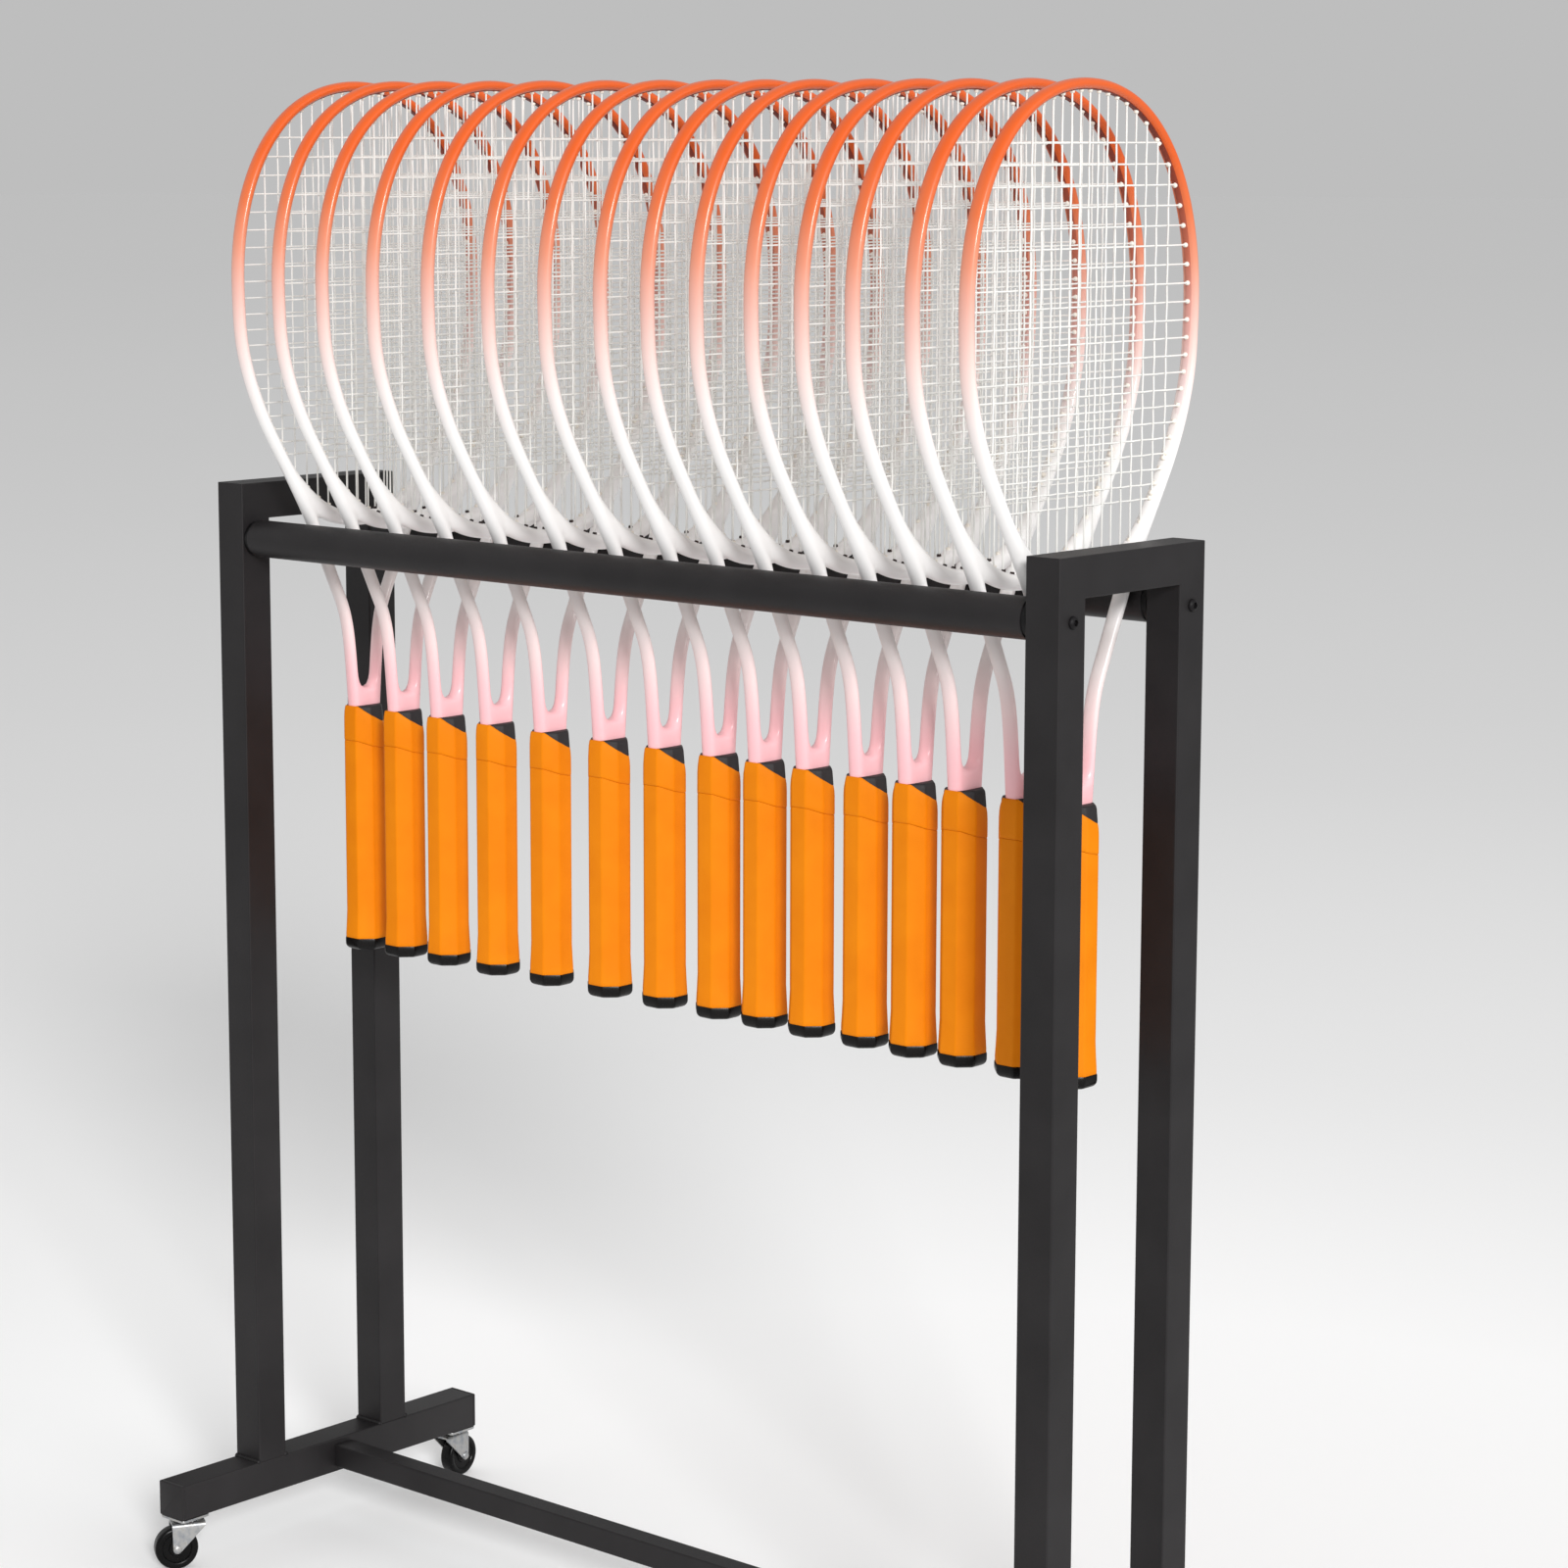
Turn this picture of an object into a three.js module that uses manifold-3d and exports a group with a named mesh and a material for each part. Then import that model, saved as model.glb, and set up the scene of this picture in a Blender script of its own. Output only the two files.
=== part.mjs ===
// Rolling display stand that holds fifteen tennis rackets upright between two round rails.
// Millimetres, +Z up, X along the rails, +Y to the back. The origin is on the floor under the middle.
import * as THREE from "three";
import { mergeVertices } from "three/addons/utils/BufferGeometryUtils.js";
import Module from "manifold-3d";

const wasm = await Module();
wasm.setup();

// Stand
const standLength = 834;
const standHeight = 870;
const endFrameDepth = 162.5;
const footLength = 326;
const footClearance = 44.4;
const tubeSide = 28.5;
const tubeWall = 1.5;
const tubeCorner = 1.2;
const innerCornerShare = 0.25;
const footCapThickness = 3;
const cutOverrun = 5;
const fitGap = 0.3;
const weldDistance = 0.0003;

// Flats round the turned pieces, the corners and the fork tips
const largeFacets = 20;
const smallFacets = 10;
const cornerFacets = 2;
const forkTipFacets = 4;

// Rails with pressed-in end plugs
const railDiameter = 29;
const railWall = 1.5;
const railBelowTop = 43.4;
const railCollarDiameter = 27;
const railCollarLength = 4.5;
const railPlugDepth = 24;

// Bottom stretcher
const stretcherSide = 19;
const stretcherWall = 1.5;
const stretcherCorner = 1.2;
const stretcherPlugDepth = 22;
const stretcherSetBack = 10;

// Tie bolts through the end frames
const boltDiameter = 6;
const boltHeadDiameter = 9;
const boltHeadHeight = 2.8;
const boltGrip = 18;

// Casters
const casterPlateSide = 28;
const casterPlateThickness = 2;
const racewayDiameter = 20;
const racewayHeight = 3;
const kingpinDiameter = 6;
const kingpinHeadDiameter = 10;
const kingpinHeadHeight = 1.4;
const stemDiameter = 8;
const stemLength = 14;
const wheelDiameter = 35;
const wheelWidth = 12;
const wheelShoulder = 1.2;
const casterTrail = 8;
const forkThickness = 1.6;
const forkSideClearance = 0.8;
const forkFrontReach = 15;
const forkRearReach = 12;
const forkTipRadius = 3.5;
const axleDiameter = 5;
const axleHeadDiameter = 6.4;
const axleHeadHeight = 1.3;

// Racket frames
const racketLength = 685;
const headHalfWidth = 127.5;
const widestHeight = 533;
const frameDepth = 12;
const hoopThickness = 7.4;
const shaftHalfWidth = 14;
const shaftLength = 2;
const palletHalfWidth = 11;
const crotchAboveGrip = 16;
const bridgeUnderHeight = 343;
const bridgeThickness = 8;
const bridgeUnderRise = 23;
const bridgeTopRise = 36;

// Strings of a racket, fewer than a real one has, with the crosses in a layer of their own
const mainStrings = 14;
const crossStrings = 12;
const stringSides = 3;
const stringThickness = 1.8;
const stringBite = 2.5;

// Grips with their collar and butt cap
const gripSides = 8;
const gripWidth = 31.5;
const gripTopHeight = 197;
const gripCollarHeight = 10;
const gripCollarWidth = 30;
const buttCapWidth = 34;
const buttCapHeight = 12;
const buttTaperHeight = 20;
const gripFloor = 9;

// Middle of each racket along the stand, as shares of its length
const racketPlaceShares = [
  -0.407, -0.3522, -0.2938, -0.2281, -0.158, -0.0835, -0.0151, 0.0505,
  0.1048, 0.1598, 0.2203, 0.2745, 0.3283, 0.3897, 0.4445,
];

// Outer side of a frame from the throat up to below its widest place,
// as shares of the head's half width and of the widest height
const sideShares = [
  [0.198, 0.5206], [0.3385, 0.5934], [0.4865, 0.6679], [0.653, 0.7355],
  [0.812, 0.8012], [0.92, 0.8612], [0.983, 0.923],
];
const crownRoundShare = 0.6;
const throatLeadShare = 0.25;
const throatFlareShare = 0.1;
const bridgeRoundShare = 0.5;

// Points along each stretch of an outline
const throatSteps = 2;
const crownSteps = 6;
const bridgeSteps = 3;
const restSteps = 40;

// Way that each caster points, in degrees, for a casual stop that looks the same from both ends
const casterTurns = { left_front: 60, left_rear: -85, right_rear: 240, right_front: 95 };

// Finishes
const powderCoat = new THREE.MeshStandardMaterial({ color: 0x2f2d2e, roughness: 0.55, metalness: 0.3 });
const blackZinc = new THREE.MeshStandardMaterial({ color: 0x1b1a1b, roughness: 0.45, metalness: 0.7 });
const brightZinc = new THREE.MeshStandardMaterial({ color: 0xb9bcc0, roughness: 0.35, metalness: 0.9 });
const wheelRubber = new THREE.MeshStandardMaterial({ color: 0x1c1c1d, roughness: 0.7, metalness: 0 });
const frameLacquer = new THREE.MeshStandardMaterial({ color: 0xf3a48c, roughness: 0.3, metalness: 0 });
const gripTape = new THREE.MeshStandardMaterial({ color: 0xfd8c1e, roughness: 0.6, metalness: 0 });

// One welded closed surface that faces out
function welded(geometry) {
  const bare = new THREE.BufferGeometry();
  bare.setAttribute("position", geometry.getAttribute("position"));
  bare.setIndex(geometry.getIndex());
  const whole = mergeVertices(bare, weldDistance);
  const corners = whole.getAttribute("position");
  const index = Array.from(whole.getIndex().array);
  const [a, b, c] = [new THREE.Vector3(), new THREE.Vector3(), new THREE.Vector3()];
  const faces = [];
  let volume = 0;
  for (let i = 0; i < index.length; i += 3) {
    const face = index.slice(i, i + 3);
    if (new Set(face).size === 3) {
      faces.push(face);
      a.fromBufferAttribute(corners, face[0]);
      b.fromBufferAttribute(corners, face[1]);
      c.fromBufferAttribute(corners, face[2]);
      volume += a.dot(b.cross(c));
    }
  }
  whole.setIndex(faces.flatMap((face) => (volume < 0 ? face.reverse() : face)));
  return whole;
}

// Solid for cutting and joining
function solid(geometry) {
  const whole = welded(geometry);
  return new wasm.Manifold(new wasm.Mesh({
    numProp: 3,
    vertProperties: new Float32Array(whole.getAttribute("position").array),
    triVerts: new Uint32Array(whole.getIndex().array),
  }));
}

// Geometry of a cut or joined solid
function surface(body) {
  const mesh = body.getMesh();
  const geometry = new THREE.BufferGeometry();
  geometry.setAttribute("position", new THREE.BufferAttribute(new Float32Array(mesh.vertProperties), 3));
  geometry.setIndex(new THREE.BufferAttribute(new Uint32Array(mesh.triVerts), 1));
  return geometry;
}

function joined(geometries) {
  return geometries.map(solid).reduce((whole, next) => whole.add(next));
}

function cut(body, geometries) {
  return geometries.map(solid).reduce((whole, tool) => whole.subtract(tool), body);
}

// Rectangle with round corners, drawn as a Shape or as a Path for a hole
function roundedBox(Kind, width, height, corner) {
  const x = width / 2;
  const y = height / 2;
  const outline = new Kind();
  outline.moveTo(corner - x, -y);
  outline.lineTo(x - corner, -y);
  outline.absarc(x - corner, corner - y, corner, -Math.PI / 2, 0);
  outline.lineTo(x, y - corner);
  outline.absarc(x - corner, y - corner, corner, 0, Math.PI / 2);
  outline.lineTo(corner - x, y);
  outline.absarc(corner - x, y - corner, corner, Math.PI / 2, Math.PI);
  outline.lineTo(-x, corner - y);
  outline.absarc(corner - x, corner - y, corner, Math.PI, Math.PI * 1.5);
  return outline;
}

// Flat shape pushed up along Z from a start height
function pushed(shape, start, length, curveSegments = cornerFacets) {
  const geometry = new THREE.ExtrudeGeometry(shape, { depth: length, bevelEnabled: false, curveSegments });
  return geometry.translate(0, 0, start);
}

// Square bar along Z
function squareBar(side, corner, start, length) {
  return pushed(roundedBox(THREE.Shape, side, side, corner), start, length);
}

// Square tube along Z from 0, open at both ends
function squareTube(side, wall, corner, length) {
  const inner = side - wall * 2;
  const shape = roundedBox(THREE.Shape, side, side, corner);
  shape.holes.push(roundedBox(THREE.Path, inner, inner, corner * innerCornerShare));
  return pushed(shape, 0, length);
}

// Round body along Z from a profile of radius and height
function turned(profile, facets) {
  const points = profile.map(([radius, height]) => new THREE.Vector2(radius, height));
  return welded(new THREE.LatheGeometry(points, facets).rotateX(Math.PI / 2));
}

function rod(diameter, start, end, facets = smallFacets) {
  const radius = diameter / 2;
  return turned([[0, start], [radius, start], [radius, end], [0, end]], facets);
}

// A body that lies along Z, turned to lie along X or Y
function alongX(geometry) {
  return geometry.rotateY(Math.PI / 2);
}

function alongY(geometry) {
  return geometry.rotateX(-Math.PI / 2);
}

const stand = new THREE.Group();

function place(name, geometry, material, parent = stand) {
  const mesh = new THREE.Mesh(geometry, material);
  mesh.name = name;
  parent.add(mesh);
  return mesh;
}

// Places worked out from the sizes
const sides = [["left", -1], ["right", 1]];
const ends = [["front", -1], ["rear", 1]];
const postX = (standLength - tubeSide) / 2;
const postY = (endFrameDepth - tubeSide) / 2;
const postFoot = footClearance + tubeSide + fitGap;
const railY = (endFrameDepth - railDiameter) / 2;
const casterY = (footLength - tubeSide) / 2;
const footCentreHeight = footClearance + tubeSide / 2;
const railCentreHeight = standHeight - railBelowTop;
const boltHole = boltDiameter + fitGap * 2;
const spanBetweenEnds = standLength - tubeSide * 2 - fitGap * 2;

// Cuts one end of a square tube at 45 degrees; the tube keeps its length on the long side, +Y or -Y
function mitred(geometry, end, inward, longSide, setBack) {
  const position = geometry.getAttribute("position");
  const heights = Array.from({ length: position.count }, (_, i) => position.getZ(i));
  heights.forEach((height, i) => {
    if (Math.abs(height - end) < tubeWall / 2) {
      position.setZ(i, end + inward * (tubeSide / 2 - longSide * position.getY(i) + setBack));
    }
  });
  return geometry;
}

// Posts stand on the foot beams and are drilled for the rail bolts
function post(endSign) {
  const length = standHeight - postFoot;
  const tube = mitred(squareTube(tubeSide, tubeWall, tubeCorner, length), length, -1, endSign, 0);
  const hole = alongX(rod(boltHole, -tubeSide, tubeSide));
  hole.translate(0, endSign * (railY - postY), railCentreHeight - postFoot);
  return surface(cut(solid(tube), [hole]));
}

// Top beams close the end frames with mitred corners
function topBeam() {
  const setBack = fitGap * Math.SQRT2;
  const tube = squareTube(tubeSide, tubeWall, tubeCorner, endFrameDepth);
  mitred(tube, endFrameDepth, -1, -1, setBack);
  mitred(tube, 0, 1, -1, setBack);
  return alongY(tube.translate(0, 0, -endFrameDepth / 2));
}

// Foot beams are closed tubes with holes for the caster stems and the stretcher bolt
function footBeam() {
  const bar = alongY(squareBar(tubeSide, tubeCorner, -footLength / 2, footLength));
  const cavityLength = footLength - footCapThickness * 2;
  const cavitySide = tubeSide - tubeWall * 2;
  const cavityCorner = tubeCorner * innerCornerShare;
  const cavity = alongY(squareBar(cavitySide, cavityCorner, -cavityLength / 2, cavityLength));
  const stemHole = stemDiameter + fitGap * 2;
  const stemHoles = ends.map(([, endSign]) => {
    const hole = rod(stemHole, -tubeSide / 2 - cutOverrun, -tubeSide / 2 + cutOverrun);
    return hole.translate(0, endSign * casterY, 0);
  });
  const boltBore = alongX(rod(boltHole, -tubeSide, tubeSide));
  boltBore.translate(0, stretcherSetBack, 0);
  return surface(cut(solid(bar), [cavity, boltBore, ...stemHoles]));
}

// Rails are round tubes; each end has a plug with a collar and a threaded bore
function rail() {
  const radius = railDiameter / 2;
  const inner = radius - railWall;
  const bore = boltHole / 2;
  const collar = railCollarDiameter / 2;
  const half = [
    [bore, spanBetweenEnds / 2 - railPlugDepth],
    [bore, spanBetweenEnds / 2],
    [collar, spanBetweenEnds / 2],
    [collar, spanBetweenEnds / 2 - railCollarLength],
    [radius, spanBetweenEnds / 2 - railCollarLength],
  ];
  const other = half.map(([r, z]) => [r, -z]).reverse();
  const plugStart = spanBetweenEnds / 2 - railPlugDepth;
  const profile = [...half, ...other, [inner, -plugStart], [inner, plugStart], half[0]];
  return alongX(turned(profile, largeFacets));
}

// The stretcher is a square tube with a plug and a threaded bore at each end
function stretcher() {
  const bar = squareBar(stretcherSide, stretcherCorner, -spanBetweenEnds / 2, spanBetweenEnds);
  const cavityLength = spanBetweenEnds - stretcherPlugDepth * 2;
  const cavitySide = stretcherSide - stretcherWall * 2;
  const cavityCorner = stretcherCorner * innerCornerShare;
  const cavity = squareBar(cavitySide, cavityCorner, -cavityLength / 2, cavityLength);
  const bore = rod(boltHole, -spanBetweenEnds, spanBetweenEnds);
  return surface(cut(solid(alongX(bar)), [alongX(cavity), alongX(bore)]));
}

// Low-headed bolt along X with its head on the +X side of the tube that it ties
function tieBolt() {
  const shank = boltDiameter / 2;
  const head = boltHeadDiameter / 2;
  const seat = tubeSide / 2 + fitGap;
  const tip = -tubeSide / 2 - boltGrip;
  return alongX(turned([
    [0, tip],
    [shank, tip],
    [shank, seat],
    [head, seat],
    [head, seat + boltHeadHeight / 2],
    [(head + shank) / 2, seat + boltHeadHeight],
    [0, seat + boltHeadHeight],
  ], smallFacets));
}

for (const [side, sideSign] of sides) {
  place(`${side}_top_beam`, topBeam(), powderCoat)
    .position.set(sideSign * postX, 0, standHeight - tubeSide / 2);
  place(`${side}_foot_beam`, footBeam(), powderCoat)
    .position.set(sideSign * postX, 0, footCentreHeight);
  const tie = place(`stretcher_bolt_${side}`, tieBolt(), blackZinc);
  tie.position.set(sideSign * postX, stretcherSetBack, footCentreHeight);
  tie.rotation.z = sideSign > 0 ? 0 : Math.PI;
  for (const [end, endSign] of ends) {
    place(`${side}_${end}_post`, post(endSign), powderCoat)
      .position.set(sideSign * postX, endSign * postY, postFoot);
    const bolt = place(`rail_bolt_${side}_${end}`, tieBolt(), blackZinc);
    bolt.position.set(sideSign * postX, endSign * railY, railCentreHeight);
    bolt.rotation.z = sideSign > 0 ? 0 : Math.PI;
  }
}
for (const [end, endSign] of ends) {
  place(`${end}_rail`, rail(), powderCoat).position.set(0, endSign * railY, railCentreHeight);
}
place("bottom_stretcher", stretcher(), powderCoat).position.set(0, stretcherSetBack, footCentreHeight);

// Heights inside a caster, from the foot beam down
const plateTop = footClearance - fitGap;
const plateBottom = plateTop - casterPlateThickness;
const racewayBottom = plateBottom - racewayHeight;
const forkTop = racewayBottom - fitGap;
const forkUnderside = forkTop - forkThickness;
const kingpinHeadTop = forkUnderside - fitGap;
const wheelRadius = wheelDiameter / 2;
const legInside = wheelWidth / 2 + forkSideClearance;
const legOutside = legInside + forkThickness;

// Fixed half of a caster: top plate, stem, raceway and riveted kingpin
function casterPlate() {
  const pin = kingpinDiameter / 2;
  const head = kingpinHeadDiameter / 2;
  const spindle = turned([
    [0, kingpinHeadTop - kingpinHeadHeight],
    [head, kingpinHeadTop - kingpinHeadHeight],
    [head, kingpinHeadTop],
    [pin, kingpinHeadTop],
    [pin, racewayBottom],
    [racewayDiameter / 2, racewayBottom],
    [racewayDiameter / 2, (plateTop + plateBottom) / 2],
    [stemDiameter / 2, (plateTop + plateBottom) / 2],
    [stemDiameter / 2, footClearance + stemLength],
    [0, footClearance + stemLength],
  ], smallFacets);
  const plate = squareBar(casterPlateSide, tubeCorner, plateBottom, casterPlateThickness);
  return surface(joined([plate, spindle]));
}

// Swivelling fork: bridge over the wheel, two tapered legs and the riveted axle
function casterFork() {
  const length = forkFrontReach + forkRearReach;
  const bridgeShape = roundedBox(THREE.Shape, length, legOutside * 2, tubeCorner);
  const bridge = pushed(bridgeShape, forkUnderside, forkThickness);
  bridge.translate((forkFrontReach - forkRearReach) / 2, 0, 0);
  const run = forkFrontReach + casterTrail;
  const drop = forkTop - wheelRadius;
  const tangent = Math.atan2(drop, run) - Math.acos(forkTipRadius / Math.hypot(run, drop));
  const legShape = new THREE.Shape();
  legShape.moveTo(forkFrontReach - tubeCorner, forkUnderside + forkThickness / 2);
  legShape.lineTo(-forkRearReach + tubeCorner, forkUnderside + forkThickness / 2);
  legShape.lineTo(-casterTrail - forkTipRadius, wheelRadius);
  legShape.absarc(-casterTrail, wheelRadius, forkTipRadius, -Math.PI, tangent);
  const legs = [legInside, -legOutside].map((start) => (
    pushed(legShape, -start - forkThickness, forkThickness, forkTipFacets).rotateX(Math.PI / 2)
  ));
  const pin = axleDiameter / 2;
  const head = axleHeadDiameter / 2;
  const inLeg = (legInside + legOutside) / 2;
  const tip = legOutside + axleHeadHeight;
  const axle = alongY(turned([
    [0, -tip], [head, -tip], [head, -inLeg], [pin, -inLeg],
    [pin, inLeg], [head, inLeg], [head, tip], [0, tip],
  ], smallFacets));
  axle.translate(-casterTrail, 0, wheelRadius);
  const kingpinHole = rod(kingpinDiameter + fitGap * 2, forkUnderside - cutOverrun, forkTop + cutOverrun);
  return surface(cut(joined([bridge, ...legs, axle]), [kingpinHole]));
}

// Wheel along Y with a flat facet on the floor
function casterWheel() {
  const bore = axleDiameter / 2 + fitGap;
  const tread = wheelRadius / Math.cos(Math.PI / largeFacets);
  const half = wheelWidth / 2;
  const profile = [
    [bore, -half], [tread - wheelShoulder, -half], [tread, wheelShoulder - half],
    [tread, half - wheelShoulder], [tread - wheelShoulder, half], [bore, half], [bore, -half],
  ];
  return alongY(turned(profile, largeFacets).rotateZ(Math.PI / largeFacets));
}

for (const [side, sideSign] of sides) {
  for (const [end, endSign] of ends) {
    const caster = new THREE.Group();
    caster.position.set(sideSign * postX, endSign * casterY, 0);
    stand.add(caster);
    place(`caster_${side}_${end}_plate`, casterPlate(), brightZinc, caster);
    const swivel = new THREE.Group();
    swivel.rotation.z = THREE.MathUtils.degToRad(casterTurns[`${side}_${end}`]);
    caster.add(swivel);
    place(`caster_${side}_${end}_fork`, casterFork(), brightZinc, swivel);
    place(`caster_${side}_${end}_wheel`, casterWheel(), wheelRubber, swivel)
      .position.set(-casterTrail, 0, wheelRadius);
  }
}

const shaftTopHeight = gripTopHeight + shaftLength;
const crotchHeight = gripTopHeight + crotchAboveGrip;

// Right half of a frame's outer outline, from the top of the shaft to the crown; x across, y up
function outerHalf() {
  const side = sideShares.map(([across, up]) => (
    new THREE.Vector2(across * headHalfWidth, up * widestHeight)
  ));
  const lead = (side[0].y - shaftTopHeight) * throatLeadShare;
  const along = side[1].clone().sub(side[0]).normalize().multiplyScalar(lead);
  const throat = new THREE.CubicBezierCurve(
    new THREE.Vector2(shaftHalfWidth, shaftTopHeight),
    new THREE.Vector2(shaftHalfWidth + lead * throatFlareShare, shaftTopHeight + lead),
    side[0].clone().sub(along),
    side[0],
  );
  const widest = new THREE.Vector2(headHalfWidth, widestHeight);
  const shoulder = new THREE.SplineCurve([...side, widest]);
  const crown = new THREE.CubicBezierCurve(
    widest,
    new THREE.Vector2(headHalfWidth, widestHeight + (racketLength - widestHeight) * crownRoundShare),
    new THREE.Vector2(headHalfWidth * crownRoundShare, racketLength),
    new THREE.Vector2(0, racketLength),
  );
  return [
    ...throat.getPoints(throatSteps).slice(0, -1),
    ...shoulder.getPoints(side.length - 1).slice(0, -1),
    ...crown.getPoints(crownSteps),
  ];
}

// Outline set in by a thickness
function setIn(points, thickness) {
  return points.map((point, i) => {
    const before = points[Math.max(i - 1, 0)];
    const after = points[Math.min(i + 1, points.length - 1)];
    const along = after.clone().sub(before);
    if (i === points.length - 1) along.set(-1, 0);
    return point.clone().addScaledVector(new THREE.Vector2(-along.y, along.x).normalize(), thickness);
  });
}

// Point where an outline that climbs passes a height
function pointAt(points, height) {
  const i = points.findIndex((point) => point.y > height);
  const share = (height - points[i - 1].y) / (points[i].y - points[i - 1].y);
  return points[i - 1].clone().lerp(points[i], share);
}

// Curve from the middle of the throat's bridge out to the arm, which it meets after a rise
function bridgeCurve(height, rise) {
  const armPoint = pointAt(inner, height + rise);
  const middle = new THREE.Vector2(0, height);
  const reach = new THREE.Vector2(armPoint.x * bridgeRoundShare, height);
  const lift = new THREE.Vector2(
    armPoint.x * (1 + bridgeRoundShare) / 2,
    height + (armPoint.y - height) * bridgeRoundShare,
  );
  return new THREE.CubicBezierCurve(middle, reach, lift, armPoint).getPoints(bridgeSteps);
}

// Full outline from its right half, which starts and ends on the middle line
function mirrored(half) {
  const left = half.slice(1, -1).map((point) => new THREE.Vector2(-point.x, point.y)).reverse();
  return [...half, ...left];
}

const outer = outerHalf();
const inner = setIn(outer, hoopThickness);
const bridgeTopHeight = bridgeUnderHeight + bridgeThickness;
const headOpening = mirrored([
  ...bridgeCurve(bridgeTopHeight, bridgeTopRise),
  ...inner.filter((point) => point.y > bridgeTopHeight + bridgeTopRise + hoopThickness / 2),
]);
const throatFloor = crotchHeight + hoopThickness / 2;
const throatTop = bridgeUnderHeight + bridgeUnderRise - hoopThickness / 2;
const throatOpening = mirrored([
  new THREE.Vector2(0, crotchHeight),
  new THREE.Vector2(shaftHalfWidth - hoopThickness, crotchHeight),
  ...inner.filter((point) => point.y > throatFloor && point.y < throatTop),
  ...bridgeCurve(bridgeUnderHeight, bridgeUnderRise).reverse(),
]);
const palletBottom = gripFloor + fitGap;
const shoulderHeight = gripTopHeight + fitGap;
const frameOutline = [
  new THREE.Vector2(palletHalfWidth, palletBottom),
  new THREE.Vector2(palletHalfWidth, shoulderHeight),
  new THREE.Vector2(shaftHalfWidth, shoulderHeight),
  ...outer,
];
const frameLeft = frameOutline.slice(0, -1).map((point) => new THREE.Vector2(-point.x, point.y)).reverse();

// Places where an outline crosses a level line ("x" for a height, "y" for a place across)
function crossings(outline, axis, other, level) {
  const found = [];
  outline.forEach((from, i) => {
    const to = outline[(i + 1) % outline.length];
    if ((from[other] <= level) !== (to[other] <= level)) {
      const share = (level - from[other]) / (to[other] - from[other]);
      found.push(from[axis] + (to[axis] - from[axis]) * share);
    }
  });
  return [Math.min(...found), Math.max(...found)];
}

// Three-sided string along Z, with its flat side towards the other layer's strings
function stringBar(low, high, layerSign) {
  const bar = rod(stringThickness, low - stringBite, high + stringBite, stringSides);
  const setOff = (stringThickness / 2 + fitGap) / 2;
  return bar.rotateZ(layerSign * Math.PI / 2).translate(layerSign * setOff, 0, 0);
}

// Strings run straight across the head and bite a little into the hoop
function stringBars() {
  const across = headOpening.map((point) => point.x);
  const up = headOpening.map((point) => point.y);
  const bars = [];
  for (let i = 1; i <= mainStrings; i += 1) {
    const x = Math.max(...across) * (i / (mainStrings + 1) * 2 - 1);
    const [low, high] = crossings(headOpening, "y", "x", x);
    bars.push(stringBar(low, high, -1).translate(0, x, 0));
  }
  const [floor, top] = [Math.min(...up), Math.max(...up)];
  for (let i = 1; i <= crossStrings; i += 1) {
    const z = floor + (top - floor) * i / (crossStrings + 1);
    const [low, high] = crossings(headOpening, "x", "y", z);
    bars.push(alongY(stringBar(low, high, 1)).translate(0, 0, z));
  }
  return bars;
}

// Hoop, bridge, open throat and the pallet inside the grip, strung
function racketFrame() {
  const shape = new THREE.Shape([...frameOutline, ...frameLeft]);
  shape.holes.push(new THREE.Path(headOpening), new THREE.Path(throatOpening));
  const frame = pushed(shape, -frameDepth / 2, frameDepth);
  frame.rotateX(Math.PI / 2).rotateZ(Math.PI / 2);
  return surface(joined([frame, ...stringBars()]));
}

// Eight-sided grip with butt cap and collar, bored for the pallet
function racketGrip() {
  const toCorner = 1 / Math.cos(Math.PI / gripSides) / 2;
  const body = turned([
    [0, 0],
    [buttCapWidth * toCorner, 0],
    [buttCapWidth * toCorner, buttCapHeight],
    [gripWidth * toCorner, buttCapHeight + buttTaperHeight],
    [gripWidth * toCorner, gripTopHeight - gripCollarHeight],
    [gripCollarWidth * toCorner, gripTopHeight],
    [0, gripTopHeight],
  ], gripSides).rotateZ(Math.PI / gripSides);
  const boreHeight = gripTopHeight - gripFloor + cutOverrun;
  const bore = new THREE.BoxGeometry(
    frameDepth + fitGap * 2,
    palletHalfWidth * 2 + fitGap * 2,
    boreHeight,
  ).translate(0, 0, gripFloor + boreHeight / 2);
  return surface(cut(solid(body), [bore]));
}

// Height of the butt at which the frame's shoulders rest on the rails
function restHeight() {
  const reach = railDiameter / 2 + fitGap;
  let height = 0;
  outer.slice(1).forEach((to, i) => {
    for (let step = 0; step <= restSteps; step += 1) {
      const point = outer[i].clone().lerp(to, step / restSteps);
      const offset = point.x - railY;
      if (Math.abs(offset) < reach) {
        height = Math.max(height, railCentreHeight + Math.sqrt(reach ** 2 - offset ** 2) - point.y);
      }
    }
  });
  return height;
}

const buttHeight = restHeight();
racketPlaceShares.forEach((share, i) => {
  const number = String(i + 1).padStart(2, "0");
  const racket = new THREE.Group();
  racket.position.set(share * standLength, 0, buttHeight);
  stand.add(racket);
  place(`racket_${number}_frame`, racketFrame(), frameLacquer, racket);
  place(`racket_${number}_grip`, racketGrip(), gripTape, racket);
});
console.log(`butt of a resting racket ${buttHeight.toFixed(2)} mm above the floor`);

stand.updateMatrixWorld(true);
export default stand;
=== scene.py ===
"""Looks of a rolling display stand that holds fifteen tennis rackets upright.

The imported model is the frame. Every piece is made in millimetres in that frame, scaled
to metres when its mesh is made, and rides on the body that its CAD node belongs to.
"""
import logging
import math
from collections.abc import Iterable, Sequence
from dataclasses import dataclass, field
from enum import Enum
from functools import cache
from itertools import accumulate

import bmesh
import bpy
from mathutils import Matrix, Vector


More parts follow.
